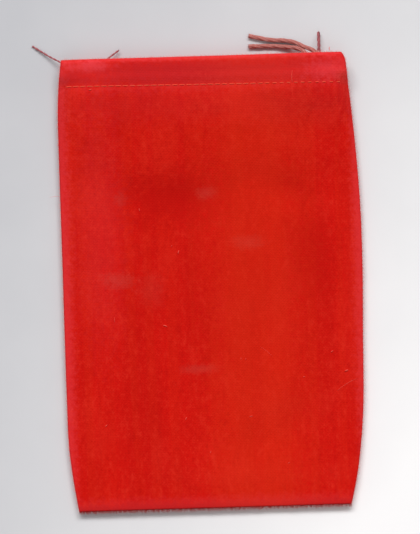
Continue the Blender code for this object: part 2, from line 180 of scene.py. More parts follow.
LEFT_ROUTE = (
    (-58.8, 5.15, 0.36), (-52.8, 1.25, 1.4), (-49.2, -0.85, 2.55), (-47.6, -2.15, 2.35),
    (-45.6, -3.15, 1.75), (-43.0, -3.35, 1.4), (40.9, -3.35, 1.4), (41.9, -3.05, 1.68),
    (42.35, -2.25, 2.34), (41.9, -1.45, 3.0), (40.9, -1.15, 3.28), (39.6, -0.85, 3.28),
    (38.8, 0.15, 3.1), (38.6, 1.65, 2.2), (38.6, 5.85, 0.45), (38.58, 6.67, 0.83),
    (38.35, 7.05, 1.75), (38.12, 6.67, 2.67), (38.1, 5.85, 3.05), (38.05, 1.65, 3.35),
    (37.95, 0.25, 3.25), (38.3, -1.35, 3.2), (39.4, -2.25, 3.2), (40.9, -2.45, 3.25),
    (42.24, -3.02, 3.81), (42.8, -4.4, 5.09), (42.24, -5.78, 6.37), (40.9, -6.35, 6.9),
    (31.0, -6.35, 6.9), (8.0, -6.35, 4.5), (-15.0, -6.35, 4.5), (-31.0, -6.35, 5.3),
    (-43.0, -6.35, 5.3), (-44.25, -5.91, 5.0), (-44.8, -4.85, 4.33), (-44.25, -3.79, 3.65),
    (-43.0, -3.35, 3.35), (-38.5, -3.05, 3.35), (-34.6, -0.75, 3.3), (-29.6, 2.85, 1.2),
)

# How a cord is twisted: plies, length of a turn, place of a ply's middle as a share of the cord's
# thickness, sides of a ply, frayed fibres at each end and start of the random draws
Twist = namedtuple("Twist", "plies lay offset sides fray seed")
THICK_TWIST = Twist(plies=4, lay=15.0 * MM, offset=0.235, sides=8, fray=46, seed=11)
THIN_TWIST = Twist(plies=2, lay=3.6 * MM, offset=0.21, sides=6, fray=16, seed=23)
STEPS_PER_TURN = 28
PLY_UNEVEN = 0.07
PLY_SCALE = 900.0
PLY_SWELL = 1.04
PLY_SHIFT = 17.0
PLY_PLACE = 7.3
CASING_CLEAR = 0.9 * MM

# Each cord: piece, node, slot, route, twist, yarn and where it leaves the casing, in millimetres
CORDS = (
    ("right_cord", "drawstring_right", "thick_cord", RIGHT_ROUTE, THICK_TWIST, "maroon cord",
     (33.6, -0.15, 4.25)),
    ("left_cord", "drawstring_left", "thin_cord", LEFT_ROUTE, THIN_TWIST, "thin maroon cord",
     (-34.6, -0.75, 3.3)),
)

# Fine fibres: steps, sides, bend, its share up and down, and taper. Those along a cord and at its
# ends follow: shortest and longest lengths in millimetres, thickness, root, lean and clearance
HAIR_STEPS = 4
HAIR_SIDES = 3
HAIR_BEND = 0.45
HAIR_DROOP = 0.4
HAIR_TAPER = 0.8
CORD_HAIRS = 2
CORD_HAIR_LENGTHS = (0.15, 0.5)
CORD_HAIR_THICKNESS = 0.016 * MM
CORD_HAIR_ROOT = 0.42
CORD_HAIR_RISE = (0.3, 1.0)
CORD_HAIR_LEAN = 0.9
CORD_HAIR_REACH = 1.5
FRAY_LENGTHS = (0.35, 0.7)
FRAY_THICKNESS = 0.028 * MM
FRAY_ROOT = 0.25 * MM
FRAY_RADIUS = 0.46
FRAY_LEAN = 0.35
HAIR_FLOOR = 0.05 * MM
FRAY_FLOOR = 0.1 * MM

# About how much narrower the mouth and base are than the widest line
NARROWING = 9.0 * MM

# Each row of stitches: its side, which way is out of the cloth, and the start of its random draws
HEM_ROWS = (("front", 1.0, 5), ("back", -1.0, 9))

# Stitches: longer on the left, where they nearly meet, and shorter past the middle
STITCH_STRAY = 0.06
STITCH_SKEW = 0.05
LEFT_DRAWN = 1.62
RIGHT_DRAWN = 0.92
DRAWN_START = 12.0 * MM
DRAWN_RUN = 20.0 * MM
STITCH_VARIES = (0.94, 1.06)
STITCH_TAPER = 0.25
STITCH_STANDS = 0.75
STITCH_DIVES = 1.9
STITCH_STEPS = 6
STRAND_SIDES = 8

# The seam's thread, its clearance from the folded edges it joins, and how it swells at a stitch
SEAM_RADIUS = 0.15 * MM
SEAM_CLEAR = 0.08 * MM
SEAM_START = 0.2 * MM
SEAM_ROWS = 60
SEAM_STEP = 0.4 * MM
SEAM_LEAST = 0.82
SEAM_SWELL = 0.18

# Lint: start of its random draws, steps and sides of a fibre, its bow, lift and thickness
LINT_SEED = 41
LINT_STEPS = 8
LINT_SIDES = 7
LINT_BOW = 0.05
LINT_LIFT = 0.4
LINT_STRAY = 0.03
LINT_END = 0.35
LINT_MIDDLE = 0.65

# Raised nap: start of its random draws, its spacing, how far inside the edge it starts, the spread
# of a tuft in millimetres, how far it strays from straight out, and how it dips and rises
NAP_SEED = 77
NAP_STEP = 0.25 * MM
NAP_ROOT = 0.1 * MM
NAP_SPREAD = 0.12
NAP_DRIFT = 0.8
NAP_LOWEST = -0.2
NAP_ROOT_RISE = (-0.1, 0.3)


def srgb(red, green, blue):
    """Linear colour for a screen colour given as 0 to 255."""
    values = []
    for channel in (red, green, blue):
        share = channel / 255.0
        values.append(share / 12.92 if share <= 0.04045 else ((share + 0.055) / 1.055) ** 2.4)
    return tuple(values)


def size_of(name, description, default):
    """Length that a user can set, with its default in millimetres."""
    return FloatProperty(
        name=name, description=description, default=default * MM, min=0.0, precision=5,
        subtype="DISTANCE", unit="LENGTH")


def colour_of(name, description, *default):
    """Colour that a user can set, with its default as a screen colour."""
    return FloatVectorProperty(
        name=name, description=description, default=srgb(*default), size=3, min=0.0, max=1.0,
        subtype="COLOR")


class PouchSizes(bpy.types.PropertyGroup):
    """Sizes of the pouch's cloth, casing, stitching and cords."""

    width: size_of("Width", "Width of the pouch at its widest", 101.9)
    height: size_of("Height", "Height from the base to the mouth", 153.2)
    cloth: size_of("Cloth", "Thickness of the flannel", 0.5)
    allowance: size_of("Allowance", "Width of cloth turned in at the seams", 7.0)
    hem_left: size_of(
        "Hem at left", "Distance of the hem stitches below the mouth edge at the left", 9.1)
    hem_right: size_of(
        "Hem at right", "Distance of the hem stitches below the mouth edge at the right", 10.2)
    stitch_pitch: size_of("Stitch pitch", "Distance from one stitch to the next", 2.4)
    stitch_length: size_of("Stitch length", "Length of thread seen in a stitch", 1.4)
    thread: size_of("Thread", "Thickness of the sewing thread", 0.3)
    right_cord: size_of("Right cord", "Thickness of the right drawstring", 1.5)
    left_cord: size_of("Left cord", "Thickness of the left drawstring", 0.65)


class PouchColours(bpy.types.PropertyGroup):
    """Colours of the pouch's cloth, threads and cords."""

    flannel: colour_of("Flannel", "Main colour of the cloth", 209, 12, 3)
    # Also the colour of the painted shade in the dark marks on the front cloth
    flannel_deep: colour_of("Flannel, deep", "Colour between the cloth's threads", 182, 7, 2)
    # Also the colour of the painted highlight in some pale marks on the front cloth
    flannel_pale: colour_of("Flannel, pale", "Colour of the cloth's rubbed nap", 222, 44, 28)
    flannel_warm: colour_of(
        "Flannel, warm", "Colour of the warm middle and the faint stripes", 214, 42, 12)
    # Worn colour brightened past the wear, so it also paints highlight on the casing and the mouth
    # edge
    flannel_rub_and_highlight: colour_of(
        "Flannel, rubbed", "Colour of the cloth's rubbed edges and casing", 240, 70, 78)
    flannel_dull: colour_of("Flannel, dull", "Colour of the smudges on the cloth", 190, 62, 52)
    hem_thread: colour_of("Hem thread", "Colour of the hem's thread", 238, 88, 58)
    seam_thread: colour_of("Seam thread", "Colour of the seam's thread", 170, 20, 14)
    cord: colour_of("Cord", "Main colour of the right drawstring", 198, 120, 112)
    cord_dark: colour_of("Cord, dark", "Colour between its plies", 120, 56, 50)
    cord_pale: colour_of("Cord, pale", "Colour of its worn fibres", 214, 162, 154)
    thin_cord: colour_of("Thin cord", "Main colour of the left drawstring", 184, 100, 104)
    thin_cord_dark: colour_of("Thin cord, dark", "Colour between its plies", 118, 54, 64)
    thin_cord_pale: colour_of("Thin cord, pale", "Colour of its worn fibres", 208, 148, 146)
    lint: colour_of("Lint", "Colour of the specks of lint", 246, 74, 60)
    # Paler than the cloth, so these fibres also paint the bright line of light along the edges
    nap: colour_of("Nap", "Colour of the raised fibres along the edges", 255, 176, 172)
    floor: colour_of("Floor", "Colour of the table's pale side", 254, 252, 252)
    # Painted shade: the board's colour fades to this towards its top left
    board_painted_shade: colour_of("Floor, shade", "Colour of its dim side", 195, 195, 199)


def smooth(share):
    """Ease from 0 to 1 with level ends."""
    share = min(max(share, 0.0), 1.0)
    return share * share * (3.0 - 2.0 * share)


def bump(distance, reach):
    """1 at no distance, easing to 0 at the reach."""
    return 1.0 - smooth(abs(distance) / reach)


def mix(low, high, share):
    return low + (high - low) * share


class Track:
    """A smooth curve through stations, which doesn't overshoot its points."""

    def __init__(self, stations):
        self.stations = stations
        spans = [stop - start for (start, low), (stop, high) in zip(stations, stations[1:])]
        rises = [high - low for (start, low), (stop, high) in zip(stations, stations[1:])]
        steps = [rise / span for rise, span in zip(rises, spans)]
        self.slopes = [steps[0]]
        for index in range(1, len(steps)):
            before, after = steps[index - 1], steps[index]
            if before * after <= 0.0:
                self.slopes.append(0.0)
                continue
            slope = mix(after, before, spans[index] / (spans[index - 1] + spans[index]))
            limit = 3.0 * min(abs(before), abs(after))
            self.slopes.append(math.copysign(min(abs(slope), limit), slope))
        self.slopes.append(steps[-1])

    def value(self, place):
        last = len(self.stations) - 2
        index = 0
        while index < last and place > self.stations[index + 1][0]:
            index += 1
        start, low = self.stations[index]
        stop, high = self.stations[index + 1]
        u = (place - start) / (stop - start)
        rise = (1.0 + 2.0 * u) * (1.0 - u) ** 2 * low + u * u * (3.0 - 2.0 * u) * high
        lean = u * (1.0 - u) ** 2 * self.slopes[index] - u * u * (1.0 - u) * self.slopes[index + 1]
        return rise + lean * (stop - start)


LEFT_TRACK = Track([(share, inset * MM) for share, inset in LEFT_INSETS])
RIGHT_TRACK = Track([(share, inset * MM) for share, inset in RIGHT_INSETS])


class Shape:
    """Where the pouch's outer layers lie, from its sizes."""

    def __init__(self, sizes):
        self.width = sizes.width
        self.length = sizes.height
        self.cloth = sizes.cloth
        self.allowance = sizes.allowance
        self.hem_ends = (sizes.hem_left, sizes.hem_right)
        self.pitch = sizes.stitch_pitch
        self.stitch = sizes.stitch_length
        self.thread = sizes.thread
        self.cords = {"right_cord": sizes.right_cord, "left_cord": sizes.left_cord}
        self.top = sizes.height / 2
        self.fold_radius = (sizes.cloth + LAYER_GAP) / 2
        self.fold_inset = sizes.cloth / 2 + self.fold_radius
        self.hem_radius = (sizes.cloth + TUNNEL) / 2
        self.hem_inset = sizes.cloth / 2 + self.hem_radius
        self.back_mid = sizes.cloth / 2
        self.edge_mid = self.back_mid + 4 * self.fold_radius + sizes.cloth + LAYER_GAP
        self.rim_mid = self.back_mid + 2 * self.hem_radius + sizes.cloth + LAYER_GAP

    def left_side(self, y):
        return -self.width / 2 + LEFT_TRACK.value((self.top - y) / self.length)

    def right_side(self, y):
        return self.width / 2 - RIGHT_TRACK.value((self.top - y) / self.length)

    def side_x(self, side, y, inset):
        """Place at this inset from the left side, or from the right where side is positive."""
        return self.left_side(y) + inset if side < 0 else self.right_side(y) - inset

    def hem_line(self, x):
        """Distance of the casing's stitch line below the mouth edge."""
        return mix(*self.hem_ends, x / self.width + 0.5)

    def tunnel_depth(self, x, drop, run):
        """Spacing of the casing's two layers, which close on the stitches over a run."""
        stitch = self.hem_line(x)
        pinch = self.cloth + PINCH_GAP
        if drop < stitch:
            return mix(2 * self.hem_radius, pinch, smooth((drop - stitch + run) / run))
        return mix(pinch, self.cloth + LOOSE_GAP, smooth((drop - stitch) / HEM_TAIL))

    def rim_height(self, x, drop):
        """Middle of the front casing's inner layer, drawn to the stitches and lifted by cords."""
        lift = 0.0
        for height, start, stop in (LEFT_LIFT, RIGHT_LIFT):
            lift += height * smooth((x - start) / (stop - start))
        below = drop - self.hem_line(x)
        fade = smooth((below + LIFT_HOLD) / LIFT_FADE)
        rise = HEM_RISE * smooth((below + FRONT_PINCH_RUN) / FRONT_PINCH_RUN)
        return self.rim_mid + lift * (1.0 - fade) + rise

    def hollow_share(self, x, y):
        """How deep a place lies in the nearest soft hollow, from 0 to 1."""
        spot = Vector((x, y))
        nearest = HOLLOW_REACH
        for line in HOLLOW_LINES:
            for start, stop in zip(line, line[1:]):
                start = Vector(start) * MM
                along = Vector(stop) * MM - start
                share = min(max((spot - start).dot(along) / along.length_squared, 0.0), 1.0)
                nearest = min(nearest, (spot - start - along * share).length)
        return bump(nearest, HOLLOW_REACH)

    def creases(self, x, y):
        """Small unevenness of cloth that has been folded away and laid out again."""
        rise = 0.0
        for across, along, level, height in CREASES:
            rise += height * noise.noise(Vector((x * across, y * along, level)))
        return rise * MM

    def puckers(self, x, drop):
        """Dips at the needle holes and the short ripples that run out from them."""
        off = drop - self.hem_line(x)
        wave = math.cos(2.0 * math.pi * x / self.pitch)
        height, reach = PUCKER_DIP
        dip = height * bump(off, reach * MM) * (DIP_LEAST + DIP_SWING * wave)
        height, reach = PUCKER_RIPPLE
        uneven = 0.5 + noise.noise(Vector((x * PUCKER_SCALE, 1.7, 0.0)))
        ripple = height * wave * bump(off, reach * MM) * uneven
        return -(dip + ripple) * MM

    def cord_ridges(self, x, drop):
        """Soft ridges where the cords inside press against the casing."""
        wander = RIDGE_WANDER * noise.noise(Vector((x * RIDGE_SCALE, 6.2, 0.0)))
        rise = 0.0
        for middle, reach, height in CORD_RIDGES:
            rise += height * bump(drop - middle * MM + wander, reach * MM)
        return rise * MM

    def front_height(self, x, y):
        """Middle of the front panel's outer layer."""
        drop = self.top - y
        stitch = self.hem_line(x)
        reach = min(x - self.left_side(y), self.right_side(y) - x)
        top = self.rim_height(x, drop) + self.tunnel_depth(x, drop, FRONT_PINCH_RUN)
        rise = smooth((stitch + SHOULDER - drop) / EDGE_RUN)
        edge = mix(self.edge_mid, top - EDGE_DROP, rise)
        casing = mix(edge, top, math.sin(math.pi / 2 * min(max(reach / CASING_END, 0.0), 1.0)))
        inside = min(reach, self.length - drop)
        clear = smooth((inside - self.allowance - FLAP_CLEAR) / BODY_RUN)
        body = self.edge_mid - (SAG + HOLLOW_DEPTH * self.hollow_share(x, y)) * clear
        height = mix(casing, body, smooth((drop - stitch - HEM_TAIL) / CASING_FALL))
        calm = smooth(inside / CREASE_CALM) * mix(CALM_SHARE, 1.0, clear)
        inner = smooth(reach / SIDE_CALM)
        height += calm * smooth((drop - stitch) / CREASE_RUN) * self.creases(x, y)
        height += inner * self.puckers(x, drop)
        return height + inner * smooth((stitch - drop) / SHOULDER) * self.cord_ridges(x, drop)

    def back_height(self, x, y):
        """Middle of the back panel's outer layer, raised over the thread of its hem."""
        off = self.top - BACK_DROP - y - self.hem_line(x)
        return self.back_mid + THREAD_RIDGE * bump(off, THREAD_REACH)


class Panel:
    """One cloth panel, folded from a flat grid: its face, turned-in edges and casing."""

    def __init__(self, shape, top, height, turn, steps):
        self.shape = shape
        self.top = top
        self.height = height
        self.turn = turn
        self.pinch_run = FRONT_PINCH_RUN if turn < 0.0 else BACK_PINCH_RUN
        self.arc, self.flap, self.end, inner, casing, tail, body = steps
        self.inner_columns = inner
        self.columns = inner + 2 * self.end
        self.band = self.arc + self.flap
        self.base = top + shape.top
        self.shares = [("casing", step / casing) for step in range(casing + 1)]
        self.shares += [("tail", step / tail) for step in range(1, tail + 1)]
        self.shares += [("body", step / body) for step in range(1, body + 1)]
        self.face_rows = len(self.shares) - 1
        self.hem_rows = self.arc + casing + tail

    def rings(self, allowance):
        """Inset and depth of each ring of a turned-in edge, from the face inwards."""
        shape = self.shape
        rings = []
        for step in range(1, self.arc + 1):
            turn = math.pi * step / self.arc
            inset = shape.fold_inset - shape.fold_radius * math.sin(turn)
            rings.append((inset, shape.fold_radius * (1 - math.cos(turn))))
        for step in range(1, self.flap + 1):
            inset = shape.fold_inset + allowance * step / self.flap
            rings.append((inset, 2 * shape.fold_radius))
        return rings

    def allowance_at(self, y):
        """Width of the side allowance, which is narrow beside the casing."""
        drop = self.shape.top - y
        share = smooth((drop - self.shape.hem_ends[1] - ALLOWANCE_START) / ALLOWANCE_RUN)
        return mix(TUNNEL_ALLOWANCE, self.shape.allowance, share)

    def row_drop(self, row, x):
        """Drop below the mouth edge of a face row, counted from the base up."""
        part, share = self.shares[len(self.shares) - 1 - row]
        stitch = self.shape.hem_line(x)
        if part == "casing":
            return mix(self.shape.hem_inset, stitch, share)
        if part == "tail":
            return stitch + HEM_TAIL * share
        return mix(stitch + HEM_TAIL, self.base - self.shape.fold_inset, share)

    def column_x(self, column, y, inset):
        """Place of a column between the two sides, with short steps beside them."""
        left = self.shape.left_side(y)
        right = self.shape.right_side(y)
        if column <= self.end:
            return left + mix(inset, CASING_END, column / self.end)
        if column >= self.columns - self.end:
            return right - mix(inset, CASING_END, (self.columns - column) / self.end)
        share = (column - self.end) / self.inner_columns
        return mix(left + CASING_END, right - CASING_END, share)

    def face_point(self, column, row):
        x = self.column_x(column, 0.0, self.shape.fold_inset)
        y = self.top - self.row_drop(row, x)
        return self.column_x(column, y, self.shape.fold_inset), y

    def side_point(self, side, ring, row):
        """Plan place and depth of one ring of the left or right edge."""
        inset, depth = self.rings(self.shape.allowance)[ring - 1]
        start = self.shape.side_x(side, 0.0, 0.0)
        low = self.base - self.shape.fold_inset
        y = self.top - self.row_drop(row, start) * (self.base - inset) / low
        if row > 0:
            inset = self.rings(self.allowance_at(y))[ring - 1][0]
        return self.shape.side_x(side, y, inset), y, depth

    def base_point(self, ring, column):
        inset, depth = self.rings(self.shape.allowance)[ring - 1]
        y = self.top - self.base + inset
        return self.column_x(column, y, inset), y, depth

    def hem_arc(self, step):
        """Place and depth of a step round the casing's fold."""
        turn = math.pi * step / self.arc
        y = self.top - self.shape.hem_inset + self.shape.hem_radius * math.sin(turn)
        return y, self.shape.hem_radius * (1 - math.cos(turn))

    def hem_point(self, step, column):
        """Plan place and depth along the fold and the inner layer of the casing."""
        if step <= self.arc:
            y, depth = self.hem_arc(step)
            return self.column_x(column, y, self.shape.fold_inset), y, depth
        x, y = self.face_point(column, self.face_rows - step + self.arc)
        return x, y, self.shape.tunnel_depth(x, self.top - y, self.pinch_run)

    def corner_point(self, side, ring, step):
        """Place and depth where the side's fold meets the casing's fold."""
        y, drop = self.hem_arc(step)
        inset, depth = self.rings(TUNNEL_ALLOWANCE)[ring - 1]
        return self.shape.side_x(side, y, inset), y, math.hypot(depth, drop)

    def point(self, column, row):
        side = -1 if column < 0 else 1
        ring = -column if column < 0 else column - self.columns
        if row < 0:
            x, y, depth = self.base_point(-row, min(max(column, 0), self.columns))
        elif ring > 0 and row > self.face_rows:
            x, y, depth = self.corner_point(side, ring, row - self.face_rows)
        elif ring > 0:
            x, y, depth = self.side_point(side, ring, row)
        elif row > self.face_rows:
            x, y, depth = self.hem_point(row - self.face_rows, column)
        else:
            x, y = self.face_point(column, row)
            depth = 0.0
        return Vector((x, y, self.height(x, y) + self.turn * depth))

    def is_cut_away(self, column, row):
        """True for a cell of the grid that lies outside the cut cloth."""
        half = self.arc // 2
        outside = column < 0 or column >= self.columns
        if row < 0:
            return outside
        if row < self.face_rows:
            return False
        if outside:
            near = -half <= column < self.columns + half
            return not (near and row < self.face_rows + half)
        at_end = column < self.end or column >= self.columns - self.end
        return at_end and row >= self.face_rows + half

    def mesh(self, name):
        wide = self.columns + 2 * self.band
        tall = self.band + self.face_rows + self.hem_rows
        grid = bmesh.new()
        bmesh.ops.create_grid(grid, x_segments=wide, y_segments=tall, size=0.5)
        cut = []
        for face in grid.faces:
            middle = face.calc_center_median()
            column = math.floor((middle.x + 0.5) * wide) - self.band
            row = math.floor((middle.y + 0.5) * tall) - self.band
            if self.is_cut_away(column, row):
                cut.append(face)
        bmesh.ops.delete(grid, geom=cut, context="FACES")
        for vertex in grid.verts:
            column = round((vertex.co.x + 0.5) * wide) - self.band
            row = round((vertex.co.y + 0.5) * tall) - self.band
            vertex.co = self.point(column, row)
        bmesh.ops.remove_doubles(grid, verts=grid.verts, dist=MERGE_DISTANCE)
        bmesh.ops.recalc_face_normals(grid, faces=grid.faces)
        mesh = bpy.data.meshes.new(name)
        grid.to_mesh(mesh)
        grid.free()
        mesh.shade_smooth()
        return mesh


def front_panel(shape):
    return Panel(shape, shape.top, shape.front_height, -1.0, FRONT_STEPS)


def back_panel(shape):
    return Panel(shape, shape.top - BACK_DROP, shape.back_height, 1.0, BACK_STEPS)


def place(name, mesh, material):
    """Object of this mesh and finish in the scene."""
    mesh.materials.append(material)
    piece = bpy.data.objects.new(name, mesh)
    bpy.context.scene.collection.objects.link(piece)
    return piece


def distances(line):
    """Distance of each point of a line from its start, along the line."""
    runs = [0.0]
    for start, stop in zip(line, line[1:]):
        runs.append(runs[-1] + (stop - start).length)
    return runs


def smooth_line(points, step):
    """Points of a smooth curve through these places, one every step along it."""
    along = distances(points)
    tracks = [Track([(run, point[axis]) for run, point in zip(along, points)]) for axis in range(3)]
    count = math.ceil(along[-1] / step)
    runs = [along[-1] * index / count for index in range(count + 1)]
    return [Vector([track.value(run) for track in tracks]) for run in runs]


def route_line(shape, route, step):
    points = [Vector((x * MM, shape.top + y * MM, z * MM)) for x, y, z in route]
    return smooth_line(points, step)


# A line counts as upright where its cross direction is shorter than this share of its heading
STEEP = 0.1


def cross_frames(line):
    """Heading and two steady cross directions at each point of a line."""
    frames = []
    side = None
    for index in range(len(line)):
        before = line[max(index - 1, 0)]
        after = line[min(index + 1, len(line) - 1)]
        heading = (after - before).normalized()
        if side is None:
            side = heading.cross(Vector((0.0, 0.0, 1.0)))
            if side.length < STEEP:
                side = heading.cross(Vector((1.0, 0.0, 0.0)))
        side = (side - heading * side.dot(heading)).normalized()
        frames.append((heading, side, heading.cross(side)))
    return frames


def outward(directions, turn):
    """Direction across a line at this turn round it."""
    _, side, up = directions
    return side * math.cos(turn) + up * math.sin(turn)


def add_strand(mesh, line, radii, sides, distance):
    """Closed tube along a line. Its UV is the share round it and the millimetres along it."""
    layer = mesh.loops.layers.uv.verify()
    places = [(distance + run) / MM for run in distances(line)]
    turns = [2.0 * math.pi * corner / sides for corner in range(sides)]
    rings = []
    for directions, point, radius in zip(cross_frames(line), line, radii):
        rings.append([mesh.verts.new(point + outward(directions, turn) * radius) for turn in turns])
    for index, (low, high) in enumerate(zip(rings, rings[1:])):
        for corner in range(sides):
            after = (corner + 1) % sides
            face = mesh.faces.new((low[corner], low[after], high[after], high[corner]))
            face.smooth = True
            start, stop = corner / sides, (corner + 1) / sides
            for loop, share, near in zip(face.loops, (start, stop, stop, start), (0, 0, 1, 1)):
                loop[layer].uv = (share, places[index + near])
    for ring, reverse in ((rings[0], True), (rings[-1], False)):
        face = mesh.faces.new(list(reversed(ring)) if reverse else ring)
        face.smooth = True


def mesh_object(name, mesh, material):
    """Object that holds this edited mesh."""
    data = bpy.data.meshes.new(name)
    mesh.to_mesh(data)
    mesh.free()
    return place(name, data, material)


def add_hair(mesh, start, heading, length, thickness, curl):
    """One fine fibre that bends away and ends in a point."""
    bend = Vector([curl.uniform(-reach, reach) for reach in (1.0, 1.0, HAIR_DROOP)])
    line = []
    radii = []
    for step in range(HAIR_STEPS + 1):
        share = step / HAIR_STEPS
        line.append(start + (heading * share + bend * HAIR_BEND * share * share) * length)
        radii.append(thickness * (1.0 - HAIR_TAPER * step / HAIR_STEPS))
    add_strand(mesh, line, radii, HAIR_SIDES, 0.0)


def is_outside(point, shape):
    """True where a cord lies outside the casing, clear of the cloth."""
    left = shape.side_x(-1, point.y, -CASING_CLEAR)
    right = shape.side_x(1, point.y, -CASING_CLEAR)
    return not left <= point.x <= right or point.y > shape.top + CASING_CLEAR


def twisted_cord(name, line, thickness, twist, shape, material):
    """Cord of plies twisted round each other, with loose fibres and frayed cut ends."""
    mesh = bmesh.new()
    rolls = random.Random(twist.seed)
    frames = cross_frames(line)
    offset = thickness * twist.offset
    radius = thickness / 2 - offset
    for ply in range(twist.plies):
        strand = []
        radii = []
        for point, directions, run in zip(line, frames, distances(line)):
            turn = 2.0 * math.pi * (run / twist.lay + ply / twist.plies)
            strand.append(point + outward(directions, turn) * offset)
            rough = noise.noise(Vector((run * PLY_SCALE, ply * PLY_PLACE, twist.seed)))
            radii.append(radius * (1.0 + PLY_UNEVEN * rough) * PLY_SWELL)
        add_strand(mesh, strand, radii, twist.sides, ply * PLY_SHIFT)
    floor = CAD_BOX[0][2]
    for point, directions in list(zip(line, frames))[2:-2]:
        if not is_outside(point, shape):
            continue
        for _ in range(CORD_HAIRS):
            out = outward(directions, rolls.uniform(0.0, 2.0 * math.pi))
            start = point + out * thickness * CORD_HAIR_ROOT
            rise = out * rolls.uniform(*CORD_HAIR_RISE)
            lean = directions[0] * rolls.uniform(-CORD_HAIR_LEAN, CORD_HAIR_LEAN)
            aim = (rise + lean).normalized()
            length = rolls.uniform(*CORD_HAIR_LENGTHS) * MM
            if (start + aim * length * CORD_HAIR_REACH).z > floor + HAIR_FLOOR:
                add_hair(mesh, start, aim, length, CORD_HAIR_THICKNESS, rolls)
    for end, sign in ((0, -1.0), (-1, 1.0)):
        ahead = frames[end][0] * sign
        for _ in range(twist.fray):
            turn = rolls.uniform(0.0, 2.0 * math.pi)
            reach = thickness * FRAY_RADIUS * math.sqrt(rolls.random())
            out = outward(frames[end], turn)
            aim = (ahead + out * rolls.uniform(0.0, FRAY_LEAN)).normalized()
            start = line[end] + out * reach - ahead * FRAY_ROOT
            length = rolls.uniform(*FRAY_LENGTHS) * MM
            if (start + aim * length).z > floor + FRAY_FLOOR:
                add_hair(mesh, start, aim, length, FRAY_THICKNESS, rolls)
    return mesh_object(name, mesh, material)


def hem_stitches(name, shape, panel, turn, seed, material):
    """Row of stitches along the casing, each dipping into the cloth at its ends."""
    mesh = bmesh.new()
    rolls = random.Random(seed)
    pitch = shape.pitch
    count = int((shape.width - NARROWING) / pitch)
    first = -(count // 2 + 0.5) * pitch
    radius = shape.thread / 2
    shares = [step / STITCH_STEPS for step in range(-STITCH_STEPS, STITCH_STEPS + 1)]
    radii = [radius * (1.0 - STITCH_TAPER * abs(share) ** 3) for share in shares]
    for stitch in range(count + 1):
        middle = first + stitch * pitch + rolls.uniform(-STITCH_STRAY, STITCH_STRAY) * MM
        drawn = mix(LEFT_DRAWN, RIGHT_DRAWN, smooth((middle - DRAWN_START) / DRAWN_RUN))
        half = shape.stitch * drawn * rolls.uniform(*STITCH_VARIES) / 2
        skew = rolls.uniform(-STITCH_SKEW, STITCH_SKEW) * MM
        line = []
        for share in shares:
            x = middle + half * share
            y = panel.top - shape.hem_line(x) + skew * share
            sink = radius * (STITCH_STANDS - STITCH_DIVES * abs(share) ** 3)
            level = panel.height(x, y) + turn * (shape.cloth / 2 + sink)
            line.append(Vector((x, y, level)))
        add_strand(mesh, line, radii, STRAND_SIDES, stitch * pitch)
    return mesh_object(name, mesh, material)


def seam_line(shape, panel):
    """Run of the seam in the groove between the panels' folded edges."""
    reach = shape.cloth / 2 + shape.fold_radius + SEAM_RADIUS + SEAM_CLEAR
    half = shape.cloth / 2 + shape.fold_radius + LAYER_GAP / 2
    inset = shape.fold_inset - math.sqrt(reach ** 2 - half ** 2) - shape.cloth / 2
    inset += shape.fold_inset - shape.fold_radius
    height = shape.back_mid + shape.fold_radius + half
    start = shape.top - shape.hem_ends[0] - HEM_TAIL - SEAM_START
    base = panel.top - panel.base + inset
    drops = [mix(start, base, step / SEAM_ROWS) for step in range(SEAM_ROWS)] + [base]
    line = [Vector((shape.side_x(-1, y, inset), y, height)) for y in drops]
    return line + [Vector((shape.side_x(1, y, inset), y, height)) for y in reversed(drops)]


def seam_stitches(name, shape, panel, material):
    """Seam thread that swells at each stitch, down one side, along the base and up."""
    line = seam_line(shape, panel)
    dense = [line[0]]
    for start, stop in zip(line, line[1:]):
        pieces = max(math.ceil((stop - start).length / SEAM_STEP), 1)
        dense += [start.lerp(stop, piece / pieces) for piece in range(1, pieces + 1)]
    waves = [math.cos(2.0 * math.pi * run / shape.pitch) for run in distances(dense)]
    radii = [SEAM_RADIUS * (SEAM_LEAST + SEAM_SWELL * wave) for wave in waves]
    mesh = bmesh.new()
    add_strand(mesh, dense, radii, STRAND_SIDES, 0.0)
    return mesh_object(name, mesh, material)


# Sockets of a mix node that are for colours, after those for numbers and vectors
MIX_COLOUR_INPUTS = (6, 7)
MIX_COLOUR_OUTPUT = 2


